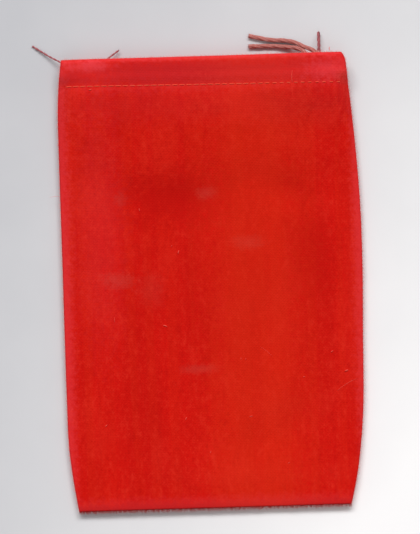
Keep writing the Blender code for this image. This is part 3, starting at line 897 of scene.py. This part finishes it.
class Wiring:
    """Short calls that add and join the nodes of one material or group."""

    def __init__(self, tree):
        self.tree = tree

    def node(self, kind, **values):
        node = self.tree.nodes.new(kind)
        for key, value in values.items():
            setattr(node, key, value)
        return node

    def feed(self, socket, value):
        """Join a socket to another, or set its value."""
        if isinstance(value, bpy.types.NodeSocket):
            self.tree.links.new(value, socket)
        else:
            socket.default_value = value

    def fill(self, kind, *values, **settings):
        """New node of this kind with its first inputs fed in turn."""
        node = self.node(kind, **settings)
        for socket, value in zip(node.inputs, values):
            self.feed(socket, value)
        return node

    def math(self, operation, first, second=0.0, third=0.0):
        return self.fill("ShaderNodeMath", first, second, third, operation=operation).outputs[0]

    def vector(self, operation, first, second=(0.0, 0.0, 0.0)):
        return self.fill("ShaderNodeVectorMath", first, second, operation=operation).outputs[0]

    def stretch(self, vector, *scales):
        return self.vector("MULTIPLY", vector, scales)

    def noise(self, vector, scale, detail=2.0, roughness=0.5):
        node = self.node("ShaderNodeTexNoise")
        given = {"Vector": vector, "Scale": scale, "Detail": detail, "Roughness": roughness}
        for label, value in given.items():
            self.feed(node.inputs[label], value)
        return node.outputs["Fac"]

    def remap(self, value, low, high, to_low=0.0, to_high=1.0):
        """Eased value between two limits, put out between two others."""
        limits = (low, high, to_low, to_high)
        node = self.fill("ShaderNodeMapRange", value, *limits, interpolation_type="SMOOTHSTEP")
        return node.outputs[0]

    def mix(self, share, low, high):
        """Colour between two others, which are given as colours or as sockets."""
        node = self.node("ShaderNodeMix", data_type="RGBA")
        self.feed(node.inputs["Factor"], share)
        for index, value in zip(MIX_COLOUR_INPUTS, (low, high)):
            self.feed(node.inputs[index], (*value, 1.0) if isinstance(value, tuple) else value)
        return node.outputs[MIX_COLOUR_OUTPUT]

    def place(self, name, **values):
        """Node of a shared group, with its named inputs set."""
        node = self.node("ShaderNodeGroup", node_tree=shared_group(name))
        for key, value in values.items():
            self.feed(node.inputs[key.replace("_", " ")], value)
        return node

    def object_place(self):
        """Place on the object in millimetres."""
        spot = self.node("ShaderNodeTexCoord").outputs["Object"]
        return self.stretch(spot, 1.0 / MM, 1.0 / MM, 1.0 / MM)


# Woven cloth: height of the warp, the weft and their crossings, above a middle level
WARP_HEIGHT = 0.15
WEFT_HEIGHT = 0.11
CROSSING_HEIGHT = 0.2
MIDDLE_LEVEL = 0.5

# Noises: how they are stretched, their scale, detail and roughness, and the values between which
# they count. A yarn's scale is its fineness, so its noise has only the last two
DRIFT_SCALE = 0.55
FIBRE_STRETCH = (1.0, 0.45, 1.0)
FIBRE_NOISE = (5.5, 4.0, 0.65)
FIBRE_LIMITS = (0.45, 0.75)
STREAK_STRETCH = (1.25, 0.035, 1.0)
STREAK_NOISE = (1.0, 3.0, 0.6)
STREAK_LIMITS = (0.3, 0.7)
GAP_LIMITS = (0.42, 0.12)
MARK_NOISE = (0.7, 3.0, 0.6)
MARK_LIMITS = (1.0, 0.1)
YARN_NOISE = (3.0, 0.7)
YARN_DRAW = 0.16
YARN_LIMITS = (0.62, 0.35)
WEAR_NOISE = (1.6, 3.0, 0.6)
WEAR_LIMITS = (0.5, 0.75)


def build_weave(wires, given):
    """Height, gaps, lengthwise streaks and nap of a plain weave with uneven threads."""
    spot = given["Place"]
    drift = wires.node("ShaderNodeTexNoise")
    wires.feed(drift.inputs["Vector"], spot)
    wires.feed(drift.inputs["Scale"], DRIFT_SCALE)
    centred = wires.vector("SUBTRACT", drift.outputs["Color"], (0.5, 0.5, 0.5))
    pushed = wires.node("ShaderNodeVectorMath", operation="SCALE")
    wires.feed(pushed.inputs[0], centred)
    wires.feed(pushed.inputs["Scale"], given["Wander"])
    moved = wires.vector("ADD", spot, pushed.outputs[0])
    parts = wires.fill("ShaderNodeSeparateXYZ", moved).outputs[:2]
    turn = wires.math("DIVIDE", 2.0 * math.pi, given["Pitch"])
    half = wires.math("MULTIPLY", turn, 0.5)
    warp, weft = (wires.math("COSINE", wires.math("MULTIPLY", part, turn)) for part in parts)
    across, along = (wires.math("COSINE", wires.math("MULTIPLY", part, half)) for part in parts)
    threads = wires.math("MULTIPLY_ADD", weft, WEFT_HEIGHT, MIDDLE_LEVEL)
    threads = wires.math("MULTIPLY_ADD", warp, WARP_HEIGHT, threads)
    crossing = wires.math("MULTIPLY", across, along)
    threads = wires.math("MULTIPLY_ADD", crossing, CROSSING_HEIGHT, threads)
    fibre = wires.noise(wires.stretch(spot, *FIBRE_STRETCH), *FIBRE_NOISE)
    fuzz = wires.math("MULTIPLY", wires.math("SUBTRACT", fibre, 0.5), given["Nap"])
    streak = wires.noise(wires.stretch(moved, *STREAK_STRETCH), *STREAK_NOISE)
    return (
        wires.math("ADD", threads, fuzz), wires.remap(threads, *GAP_LIMITS),
        wires.remap(streak, *STREAK_LIMITS), wires.remap(fibre, *FIBRE_LIMITS))


def build_mark(wires, given):
    """Mask of a soft-edged oval mark at one place, broken up by a fine mottle."""
    away = wires.vector("SUBTRACT", given["Place"], given["Centre"])
    shared = wires.vector("DIVIDE", away, given["Half size"])
    length = wires.fill("ShaderNodeVectorMath", shared, operation="LENGTH").outputs["Value"]
    mottle = wires.math("SUBTRACT", wires.noise(given["Place"], *MARK_NOISE), 0.5)
    edge = wires.math("MULTIPLY_ADD", mottle, given["Mottle"], length)
    return (wires.remap(edge, *MARK_LIMITS),)


def build_yarn(wires, given):
    """Height, shade and worn tips of the fibres that run round and along a yarn."""
    parts = wires.fill("ShaderNodeSeparateXYZ", wires.node("ShaderNodeTexCoord").outputs["UV"]).outputs
    round_turn = wires.math("MULTIPLY", parts[0], 2.0 * math.pi)
    slanted = wires.math("MULTIPLY_ADD", parts[1], given["Slant"], round_turn)
    line = wires.fill(
        "ShaderNodeCombineXYZ", wires.math("COSINE", slanted), wires.math("SINE", slanted),
        wires.math("MULTIPLY", parts[1], YARN_DRAW))
    fibre = wires.noise(line.outputs[0], given["Fineness"], *YARN_NOISE)
    along = wires.fill(
        "ShaderNodeCombineXYZ", wires.math("MULTIPLY", parts[1], given["Wear scale"]), parts[0])
    wear = wires.noise(along.outputs[0], *WEAR_NOISE)
    return fibre, wires.remap(fibre, *YARN_LIMITS), wires.remap(wear, *WEAR_LIMITS)


# Each shared group: its inputs with their values, its outputs, and what builds it
GROUPS = {
    "Woven cloth": (
        {"Place": (0.0, 0.0, 0.0), "Pitch": 0.5, "Wander": 0.3, "Nap": 0.5},
        ("Height", "Gap", "Streak", "Fibre"), build_weave),
    "Soft mark": (
        {"Place": (0.0, 0.0, 0.0), "Centre": (0.0, 0.0, 0.0), "Half size": (5.0, 5.0, 100.0),
         "Mottle": 0.4}, ("Mask",), build_mark),
    "Twisted yarn": (
        {"Fineness": 6.0, "Slant": 0.8, "Wear scale": 0.35}, ("Height", "Shade", "Wear"), build_yarn),
}


def shared_group(name):
    """Shader group of this name, built only once and then shared."""
    group = bpy.data.node_groups.get(name)
    if group:
        return group
    inputs, outputs, build = GROUPS[name]
    group = bpy.data.node_groups.new(name, "ShaderNodeTree")
    for label, value in inputs.items():
        kind = "NodeSocketVector" if isinstance(value, tuple) else "NodeSocketFloat"
        socket = group.interface.new_socket(label, in_out="INPUT", socket_type=kind)
        socket.default_value = value
    for label in outputs:
        group.interface.new_socket(label, in_out="OUTPUT", socket_type="NodeSocketFloat")
    wires = Wiring(group)
    wires.fill("NodeGroupOutput", *build(wires, wires.node("NodeGroupInput").outputs))
    return group


def start_material(name):
    """Material with its own surface shader and no other nodes."""
    material = bpy.data.materials.new(name)
    material.use_nodes = True
    shader = material.node_tree.nodes["Principled BSDF"]
    return material, Wiring(material.node_tree), shader


def add_bump(wires, shader, height, strength, distance):
    node = wires.node("ShaderNodeBump")
    given = {"Strength": strength, "Distance": distance, "Height": height}
    for label, value in given.items():
        wires.feed(node.inputs[label], value)
    wires.feed(shader.inputs["Normal"], node.outputs[0])


# Marks on the front cloth: centre and half size in millimetres, each across and along, and
# their strength. Some are marks of use; many are painted shade and painted highlight
# Dark marks, mostly painted shade: in the soft hollows, folds and creases, in the valley along the
# casing, in thin lines along the side edges and in a band under the rounded base fold. A few are
# darker patches of cloth
SHADE_AND_DARK_MARKS = (
    (-45.0, 70.0, 6.5, 3.0, 0.85), (-38.0, 62.5, 4.0, 4.5, 0.30), (-12.0, 29.0, 36.0, 14.0, 0.80),
    (24.0, 33.0, 20.0, 11.0, 0.35), (34.0, 8.0, 13.0, 26.0, 0.55), (30.0, -44.0, 14.0, 9.0, 0.20),
    (-20.0, 60.0, 24.0, 9.0, 0.20), (8.0, 72.0, 30.0, 1.6, 0.25), (-24.0, -44.0, 7.0, 20.0, 0.18),
    (-8.0, 8.0, 3.0, 44.0, 0.14), (31.0, 76.5, 9.0, 3.0, 0.25), (0.0, -77.2, 190.0, 4.2, 1.0),
    (-51.6, 0.0, 1.6, 260.0, 0.55), (51.6, 0.0, 1.6, 260.0, 0.45), (-4.0, 71.0, 62.0, 7.5, 0.90),
    (-6.0, 0.0, 66.0, 44.0, 0.20), (-29.5, 54.0, 4.5, 12.0, 0.30),
)
# Pale marks: paler rubbed patches and lines of cloth, with a painted highlight that brightens the
# shaded right end of the casing (46.4, 68.8) and a painted highlight along the mouth edge (2.0, 75.6)
PALE_AND_HIGHLIGHT_MARKS = (
    (8.0, 13.4, 7.0, 0.25, 0.35), (46.4, 68.8, 3.6, 3.8, 1.0), (28.7, 64.0, 0.45, 6.2, 0.40),
    (-48.0, 10.0, 4.0, 70.0, 0.12), (47.0, -5.0, 4.0, 66.0, 0.14), (0.0, 66.4, 52.0, 0.9, 0.22),
    (10.0, -66.0, 42.0, 7.0, 0.16), (39.0, 55.0, 8.0, 9.0, 0.24), (-20.0, -60.0, 4.0, 13.0, 0.14),
    (2.0, 75.6, 50.0, 1.2, 0.30),
)
DULL_MARKS = (
    (-1.4, 30.2, 5.0, 3.4, 0.36), (12.4, 13.2, 8.0, 3.6, 0.36), (-32.0, 1.4, 8.5, 4.0, 0.34),
    (-5.5, -29.3, 9.0, 2.6, 0.34), (-30.5, 29.0, 3.0, 3.4, 0.22), (-21.0, -2.0, 7.0, 9.0, 0.16),
)
WARM_MARKS = ((15.0, 0.0, 27.0, 600.0, 0.36),)
# Rubbed marks: worn edges and casing, and partly painted highlight, most of all along the mouth roll
# and at the casing's right corner, which face the lamp
RUB_AND_HIGHLIGHT_MARKS = (
    (0.0, 71.5, 200.0, 9.0, 0.17), (0.0, 62.0, 200.0, 12.0, 0.06), (-40.0, 74.3, 12.0, 2.8, 0.50),
    (41.5, 71.0, 12.0, 6.0, 0.34), (-50.6, -10.0, 4.6, 260.0, 0.30), (50.9, 0.0, 4.6, 260.0, 0.30),
    (0.0, -75.8, 200.0, 5.0, 0.16), (0.0, 76.4, 200.0, 1.6, 0.30), (-38.0, 20.0, 13.0, 62.0, 0.10),
)
FRONT_MARKS = (
    (SHADE_AND_DARK_MARKS, "flannel_deep"), (PALE_AND_HIGHLIGHT_MARKS, "flannel_pale"), (DULL_MARKS, "flannel_dull"),
    (WARM_MARKS, "flannel_warm"), (RUB_AND_HIGHLIGHT_MARKS, "flannel_rub_and_highlight"),
)
MARK_LEVEL = 4.0
MARK_HEIGHT = 60.0
MARK_MOTTLE = 1.1
CLOTH_ROUGHNESS = (0.88, 1.0)

# Shades of the weave: its part, strength and colour
WEAVE_SHADES = (
    ("Gap", 0.6, "flannel_deep"), ("Streak", 0.26, "flannel_deep"), ("Fibre", 0.45, "flannel_pale"),
)
# Patterns in the dye and nap: scale across, along and up, detail and roughness
CLOTH_PATTERNS = {
    "bands": ((0.075, 0.012, 1.0), 2.0, 0.5),
    "stripes": ((0.17, 0.004, 0.01), 1.0, 0.5),
    "clouds": ((0.06, 0.06, 0.06), 3.0, 0.55),
    "blotch": ((0.42, 0.22, 1.0), 4.0, 0.7),
    "speckle": ((1.0, 0.8, 1.0), 2.0, 0.6),
}
# Shades of the patterns in turn: where each starts and is full, its strength and its colour
PATTERN_SHADES = (
    ("bands", 0.42, 0.68, 0.30, "flannel_deep"), ("stripes", 0.47, 0.54, 0.14, "flannel_warm"),
    ("clouds", 0.48, 0.72, 0.22, "flannel_pale"), ("blotch", 0.50, 0.74, 0.46, "flannel_pale"),
    ("blotch", 0.48, 0.28, 0.46, "flannel_deep"), ("speckle", 0.52, 0.72, 0.30, "flannel_pale"),
    ("speckle", 0.48, 0.30, 0.30, "flannel_deep"),
)


def flannel_material(name, colours, marks):
    """Napped cotton: weave, streaks along the warp, rubbed nap, marks of use, and painted shade and
    painted highlight laid on as marks.
    """
    material, wires, shader = start_material(name)
    spot = wires.object_place()
    weave = wires.place("Woven cloth", Place=spot, Pitch=0.56, Wander=0.35, Nap=0.55)
    colour = tuple(colours.flannel)

    def tint(share, shade):
        return wires.mix(share, colour, tuple(getattr(colours, shade)))

    for part, strength, shade in WEAVE_SHADES:
        colour = tint(wires.math("MULTIPLY", weave.outputs[part], strength), shade)
    patterns = {}
    for label, (scales, detail, roughness) in CLOTH_PATTERNS.items():
        patterns[label] = wires.noise(wires.stretch(spot, *scales), 1.0, detail, roughness)
    for label, low, high, strength, shade in PATTERN_SHADES:
        colour = tint(wires.remap(patterns[label], low, high, 0.0, strength), shade)
    # Each mark is a soft oval of colour: marks of use, painted shade and painted highlight
    for places, shade in marks:
        for x, y, wide, tall, strength in places:
            mark = wires.place(
                "Soft mark", Place=spot, Centre=(x, y, MARK_LEVEL),
                Half_size=(wide, tall, MARK_HEIGHT), Mottle=MARK_MOTTLE)
            colour = tint(wires.math("MULTIPLY", mark.outputs[0], strength), shade)
    wires.feed(shader.inputs["Base Color"], colour)
    roughness = wires.remap(weave.outputs["Fibre"], 0.0, 1.0, *CLOTH_ROUGHNESS)
    wires.feed(shader.inputs["Roughness"], roughness)
    shader.inputs["Specular IOR Level"].default_value = 0.10
    shader.inputs["Sheen Weight"].default_value = 0.04
    shader.inputs["Sheen Roughness"].default_value = 0.45
    shader.inputs["Sheen Tint"].default_value = (1.0, 0.55, 0.5, 1.0)
    add_bump(wires, shader, weave.outputs["Height"], strength=0.55, distance=0.16 * MM)
    return material


# Yarns: colours of the fibres, between them and where worn, their fineness, slant and height
YARNS = {
    "gold sewing thread": ("hem_thread", "flannel_pale", "lint", 3.0, 6.0, 0.4),
    "red sewing thread": ("seam_thread", "flannel_deep", "flannel_pale", 3.0, 6.0, 0.4),
    "maroon cord": ("cord", "cord_dark", "cord_pale", 4.5, 1.6, 0.6),
    "thin maroon cord": ("thin_cord", "thin_cord_dark", "thin_cord_pale", 3.5, 3.0, 0.6),
    "lint": ("lint", "flannel_pale", "cord_pale", 2.0, 1.0, 0.3),
    "raised nap": ("nap", "flannel_pale", "floor", 2.0, 1.0, 0.2),
    # The base nap's dark reds paint the shade under the rounded base fold
    "raised nap, base": ("seam_thread", "flannel_deep", "cord", 2.0, 1.0, 0.2),
}
YARN_DARK = 0.7
YARN_WORN = 0.55
YARN_ROUGHNESS = (0.7, 0.9)


def yarn_material(name, colours):
    """Spun yarn whose fibres wind round it, darker between them and worn pale."""
    main, dark, pale, fineness, slant, height = YARNS[name]
    main, dark, pale = (tuple(getattr(colours, shade)) for shade in (main, dark, pale))
    material, wires, shader = start_material(name)
    yarn = wires.place("Twisted yarn", Fineness=fineness, Slant=slant)
    colour = wires.mix(wires.math("MULTIPLY", yarn.outputs["Shade"], YARN_DARK), main, dark)
    colour = wires.mix(wires.math("MULTIPLY", yarn.outputs["Wear"], YARN_WORN), colour, pale)
    wires.feed(shader.inputs["Base Color"], colour)
    roughness = wires.remap(yarn.outputs["Wear"], 0.0, 1.0, *YARN_ROUGHNESS)
    wires.feed(shader.inputs["Roughness"], roughness)
    shader.inputs["Specular IOR Level"].default_value = 0.3
    shader.inputs["Sheen Weight"].default_value = 0.05
    add_bump(wires, shader, yarn.outputs["Height"], strength=height, distance=0.08 * MM)
    return material


# The board's brightness, as a share of its pale colour, is painted shade that dims it towards the top
# left: at its middle, its gain a span across and a span down, where both meet, and its mottle. The
# spans are in millimetres
BOARD_SPANS = (58.0, 85.0)
BOARD_MIDDLE = 0.44
BOARD_ACROSS = 0.26
BOARD_DOWN = 0.24
BOARD_CORNER = 0.10
BOARD_MOTTLE = 0.18
BOARD_MOTTLE_NOISE = (0.03, 3.0, 0.5)
BOARD_GRAIN = 0.03
BOARD_GRAIN_NOISE = (2.2, 3.0, 0.6)
BOARD_ROUGHNESS = (0.2, 0.8, 0.8, 0.95)


def floor_material(colours):
    """Matt pale board with painted shade, dim at the top left and brighter towards the pouch's lower
    right side.
    """
    material, wires, shader = start_material("pale board")
    pale, dim = tuple(colours.floor), tuple(colours.board_painted_shade)
    spot = wires.object_place()
    parts = wires.fill("ShaderNodeSeparateXYZ", spot).outputs
    across = wires.math("MULTIPLY", parts[0], 1.0 / BOARD_SPANS[0])
    down = wires.math("MULTIPLY", parts[1], -1.0 / BOARD_SPANS[1])
    slope = wires.math("MULTIPLY_ADD", down, BOARD_DOWN, BOARD_MIDDLE)
    slope = wires.math("MULTIPLY_ADD", across, BOARD_ACROSS, slope)
    corner = wires.math("MULTIPLY", across, down)
    slope = wires.math("MULTIPLY_ADD", corner, BOARD_CORNER, slope)
    mottle = wires.math("SUBTRACT", wires.noise(spot, *BOARD_MOTTLE_NOISE), 0.5)
    share = wires.math("MULTIPLY_ADD", mottle, BOARD_MOTTLE, slope)
    share = wires.math("MINIMUM", wires.math("MAXIMUM", share, 0.0), 1.0)
    grain = wires.noise(spot, *BOARD_GRAIN_NOISE)
    colour = wires.mix(wires.math("MULTIPLY", grain, BOARD_GRAIN), wires.mix(share, dim, pale), dim)
    wires.feed(shader.inputs["Base Color"], colour)
    wires.feed(shader.inputs["Roughness"], wires.remap(grain, *BOARD_ROUGHNESS))
    shader.inputs["Specular IOR Level"].default_value = 0.2
    return material


# Each piece of lint: place, length and thickness in millimetres and heading in degrees
LINT = (
    (-52.5, 30.4, 3.6, 0.07, 4.0), (41.7, 77.6, 1.4, 0.22, 88.0), (-11.3, 10.5, 1.2, 0.38, 70.0),
    (-13.6, 12.6, 0.8, 0.16, 50.0), (-16.6, -14.4, 1.5, 0.40, -20.0), (-37.5, -47.6, 0.9, 0.34, 40.0),
    (44.4, -31.3, 1.2, 0.44, 12.0), (39.7, -24.7, 0.9, 0.34, 30.0), (11.6, -45.9, 1.1, 0.26, 10.0),
    (-10.4, -46.0, 1.0, 0.26, 60.0), (30.0, -33.0, 0.7, 0.26, 15.0), (8.8, -26.2, 0.6, 0.22, 80.0),
    (10.4, -26.4, 0.6, 0.20, 70.0), (17.5, -24.2, 5.4, 0.09, -40.0), (44.6, -36.1, 8.4, 0.12, 30.0),
    (-39.5, 66.2, 1.0, 0.38, 15.0), (-24.2, 25.2, 1.0, 0.22, -78.0), (24.0, -62.0, 0.8, 0.22, 35.0),
    (28.9, 68.7, 4.0, 0.24, 88.0), (-2.4, -57.6, 0.8, 0.26, 75.0), (-33.6, -11.8, 1.8, 0.14, 88.0),
)


def make_lint(shape, material):
    """Specks and short fibres of lint caught on the front cloth."""
    mesh = bmesh.new()
    rolls = random.Random(LINT_SEED)
    for x, y, length, thickness, heading in LINT:
        turn = math.radians(heading)
        places = []
        radii = []
        for step in range(LINT_STEPS + 1):
            share = step / LINT_STEPS - 0.5
            bow = LINT_BOW * length * (1.0 - 4.0 * share * share)
            along = share * length
            px = (x + along * math.cos(turn) - bow * math.sin(turn)) * MM
            py = (y + along * math.sin(turn) + bow * math.cos(turn)) * MM
            lift = (thickness * LINT_LIFT + rolls.uniform(0.0, LINT_STRAY)) * MM
            level = shape.front_height(px, py) + (shape.cloth / 2 + lift)
            places.append(Vector((px, py, level)))
            swell = math.sin(math.pi * (step + 0.5) / (LINT_STEPS + 1))
            radii.append(thickness / 2 * MM * (LINT_END + LINT_MIDDLE * swell))
        add_strand(mesh, places, radii, LINT_SIDES, 0.0)
    return mesh_object("lint", mesh, material)


def edge_places(shape):
    """Places along the outline of the front cloth, with their outward headings."""
    places = []
    count = int(shape.length / NAP_STEP)
    for index in range(count):
        y = shape.top - (index + 0.5) * shape.length / count
        for side in (-1.0, 1.0):
            x = shape.side_x(side, y, 0.0)
            level = shape.front_height(x - side * shape.fold_inset, y) - shape.fold_radius
            places.append((Vector((x - side * NAP_ROOT, y, level)), Vector((side, 0.0, 0.0))))
    count = int((shape.width - NARROWING) / NAP_STEP)
    for index in range(count):
        share = (index + 0.5) / count
        for side, radius in ((-1.0, shape.fold_radius), (1.0, shape.hem_radius)):
            y = side * shape.top
            x = mix(shape.left_side(y), shape.right_side(y), share)
            level = shape.front_height(x, y - side * shape.fold_inset) - radius
            places.append((Vector((x, y - side * NAP_ROOT, level)), Vector((0.0, side, 0.0))))
    return places


# Raised nap: piece, yarn, whether it is at the base, and its look: fibres at each place, their
# shortest and longest length in millimetres, how far they stand up and their thickness
NAPS = (
    # The edge nap's pale pink fibres also paint the bright line of light along the top and sides
    ("edge_nap", "raised nap", False, (4, (0.3, 0.8), 1.0, 0.026 * MM)),
    # The base nap is dark red, dense and long: real nap that also paints the shade under the rounded
    # base fold
    ("base_nap", "raised nap, base", True, (9, (0.5, 1.25), 0.15, 0.04 * MM)),
)


def make_nap(name, places, count, reach, rise, thickness, material):
    """Short raised fibres along an edge, where the nap is seen against the table."""
    mesh = bmesh.new()
    rolls = random.Random(NAP_SEED)
    for start, out in places:
        ends = ((-1.0, 1.0), (-1.0, 1.0), (NAP_LOWEST, 1.0))
        drift = Vector([rolls.uniform(low, high) for low, high in ends])
        drift.z *= rise
        aim = (out + drift * NAP_DRIFT).normalized()
        start = start + Vector((0.0, 0.0, rolls.uniform(*NAP_ROOT_RISE) * rise * MM))
        for _ in range(count):
            length = rolls.uniform(*reach) * MM
            root = start + out.yxz * rolls.uniform(-NAP_SPREAD, NAP_SPREAD) * MM
            add_hair(mesh, root, aim, length, thickness, rolls)
    return mesh_object(name, mesh, material)


def area_light(name, place_at, size, power):
    """Lamp that points at the pouch's middle."""
    lamp = bpy.data.lights.new(name, "AREA")
    lamp.shape = "RECTANGLE"
    lamp.size, lamp.size_y = size
    lamp.energy = power
    holder = bpy.data.objects.new(name, lamp)
    holder.location = place_at
    holder.rotation_euler = (-Vector(place_at)).to_track_quat("-Z", "Y").to_euler()
    bpy.context.scene.collection.objects.link(holder)


def finish_piece(piece, node):
    """Let a piece stand for its node, on the pouch's one body."""
    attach(piece, "root")
    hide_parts(node)


def add_panel(name, panel, node, material):
    """Cloth panel with its thickness, in place of its node."""
    shape = panel.shape
    cloth = place(name, panel.mesh(name), material)
    shell = cloth.modifiers.new("Cloth thickness", "SOLIDIFY")
    shell.thickness = shape.cloth
    shell.offset = 0.0
    finish_piece(cloth, node)


class PouchOperator:
    """What the operators of the pouch's pieces share."""

    bl_options = {"REGISTER", "UNDO"}

    @staticmethod
    def settings(context):
        return Shape(context.scene.pouch_sizes), context.scene.pouch_colours


class POUCH_OT_front_panel(PouchOperator, bpy.types.Operator):
    """Add the front cloth, folded in at its sides and base and hemmed at the mouth"""

    bl_idname = "pouch.front_panel"
    bl_label = "Add front panel"

    def execute(self, context):
        shape, colours = self.settings(context)
        finish = flannel_material("red flannel, front", colours, FRONT_MARKS)
        add_panel("front_cloth", front_panel(shape), "front_panel", finish)
        return {"FINISHED"}


class POUCH_OT_back_panel(PouchOperator, bpy.types.Operator):
    """Add the back cloth, which lies on the table"""

    bl_idname = "pouch.back_panel"
    bl_label = "Add back panel"

    def execute(self, context):
        shape, colours = self.settings(context)
        finish = flannel_material("red flannel, back", colours, ())
        add_panel("back_cloth", back_panel(shape), "back_panel", finish)
        return {"FINISHED"}


class POUCH_OT_hem_stitches(PouchOperator, bpy.types.Operator):
    """Add the stitch rows along the front and back casing"""

    bl_idname = "pouch.hem_stitches"
    bl_label = "Add hem stitches"

    def execute(self, context):
        shape, colours = self.settings(context)
        finish = yarn_material("gold sewing thread", colours)
        panels = (front_panel(shape), back_panel(shape))
        for panel, (side, turn, seed) in zip(panels, HEM_ROWS):
            piece = hem_stitches(side + "_stitches", shape, panel, turn, seed, finish)
            finish_piece(piece, side + "_hem_thread")
        return {"FINISHED"}


class POUCH_OT_seam(PouchOperator, bpy.types.Operator):
    """Add the seam that joins the two cloths at the sides and base"""

    bl_idname = "pouch.seam"
    bl_label = "Add seam"

    def execute(self, context):
        shape, colours = self.settings(context)
        finish = yarn_material("red sewing thread", colours)
        piece = seam_stitches("side_seam", shape, front_panel(shape), finish)
        finish_piece(piece, "seam_thread")
        return {"FINISHED"}


class POUCH_OT_cords(PouchOperator, bpy.types.Operator):
    """Add the two drawstrings through the casing"""

    bl_idname = "pouch.cords"
    bl_label = "Add drawstrings"

    def execute(self, context):
        shape, colours = self.settings(context)
        for name, node, slot, route, twist, yarn, (x, y, z) in CORDS:
            width = shape.cords[name]
            line = route_line(shape, route, twist.lay / STEPS_PER_TURN)
            piece = twisted_cord(name, line, width, twist, shape, yarn_material(yarn, colours))
            finish_piece(piece, node)
        return {"FINISHED"}


class POUCH_OT_lint(PouchOperator, bpy.types.Operator):
    """Add the specks and fibres of lint on the front cloth"""

    bl_idname = "pouch.lint"
    bl_label = "Add lint"

    def execute(self, context):
        shape, colours = self.settings(context)
        piece = make_lint(shape, yarn_material("lint", colours))
        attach(piece, "root")
        return {"FINISHED"}


class POUCH_OT_nap(PouchOperator, bpy.types.Operator):
    """Add the raised fibres along the outline of the front cloth, with dark ones at the base as
    painted shade
    """

    bl_idname = "pouch.nap"
    bl_label = "Add edge nap"

    def execute(self, context):
        shape, colours = self.settings(context)
        for name, yarn, at_base, look in NAPS:
            places = [spot for spot in edge_places(shape) if (spot[1].y < -0.5) == at_base]
            piece = make_nap(name, places, *look, yarn_material(yarn, colours))
            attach(piece, "root")
        return {"FINISHED"}


class POUCH_OT_stage(bpy.types.Operator):
    """Add the pale board, the lamps and the camera straight above"""

    bl_idname = "pouch.stage"
    bl_label = "Add stage"
    bl_options = {"REGISTER", "UNDO"}

    def execute(self, context):
        scene = context.scene
        mesh = bpy.data.meshes.new("board")
        corners = [(x * BOARD_HALF, y * BOARD_HALF, CAD_BOX[0][2]) for x, y in BOARD_CORNERS]
        mesh.from_pydata(corners, [], [range(len(corners))])
        place("board", mesh, floor_material(scene.pouch_colours))

        for lamp in LAMPS:
            area_light(*lamp)
        world = bpy.data.worlds.new("soft room")
        world.use_nodes = True
        room = world.node_tree.nodes["Background"]
        room.inputs["Color"].default_value = (1.0, 1.0, 1.0, 1.0)
        room.inputs["Strength"].default_value = WORLD_LEVEL
        scene.world = world
        scene.view_settings.view_transform = "Standard"

        lens = bpy.data.cameras.new("camera")
        lens.sensor_fit = "VERTICAL"
        lens.sensor_height = SENSOR
        lens.lens = SENSOR * CAMERA_HEIGHT / (PHOTO_SIZE[1] * PIXEL)
        lens.clip_start, lens.clip_end = NEAR_AND_FAR
        camera = bpy.data.objects.new("camera", lens)
        camera.location = (*VIEW_CENTRE, CAMERA_HEIGHT + CLOTH_LEVEL)
        camera.rotation_euler = (0.0, 0.0, -PHOTO_TURN)
        scene.collection.objects.link(camera)
        scene.camera = camera
        return {"FINISHED"}


class POUCH_PT_sidebar(bpy.types.Panel):
    """Sizes, colours and parts of the pouch"""

    bl_idname = "POUCH_PT_sidebar"
    bl_label = "Drawstring pouch"
    bl_space_type = "VIEW_3D"
    bl_region_type = "UI"
    bl_category = "Pouch"

    def draw(self, context):
        layout = self.layout
        for settings in (context.scene.pouch_sizes, context.scene.pouch_colours):
            box = layout.box()
            for key in settings.__annotations__:
                box.prop(settings, key)
        for operator in OPERATORS:
            layout.operator(operator.bl_idname)


OPERATORS = (
    POUCH_OT_stage, POUCH_OT_cords, POUCH_OT_front_panel, POUCH_OT_back_panel,
    POUCH_OT_hem_stitches, POUCH_OT_seam, POUCH_OT_lint, POUCH_OT_nap,
)
CLASSES = (PouchSizes, PouchColours, *OPERATORS, POUCH_PT_sidebar)


def register():
    for item in CLASSES:
        bpy.utils.register_class(item)
    bpy.types.Scene.pouch_sizes = PointerProperty(type=PouchSizes)
    bpy.types.Scene.pouch_colours = PointerProperty(type=PouchColours)


def unregister():
    del bpy.types.Scene.pouch_colours
    del bpy.types.Scene.pouch_sizes
    for item in reversed(CLASSES):
        bpy.utils.unregister_class(item)


def main():
    register()
    bpy.ops.pouch.stage()
    bpy.ops.pouch.cords()
    bpy.ops.pouch.front_panel()
    bpy.ops.pouch.back_panel()
    bpy.ops.pouch.hem_stitches()
    bpy.ops.pouch.seam()
    bpy.ops.pouch.lint()
    bpy.ops.pouch.nap()
    bpy.context.view_layer.update()


if __name__ == "__main__":
    main()
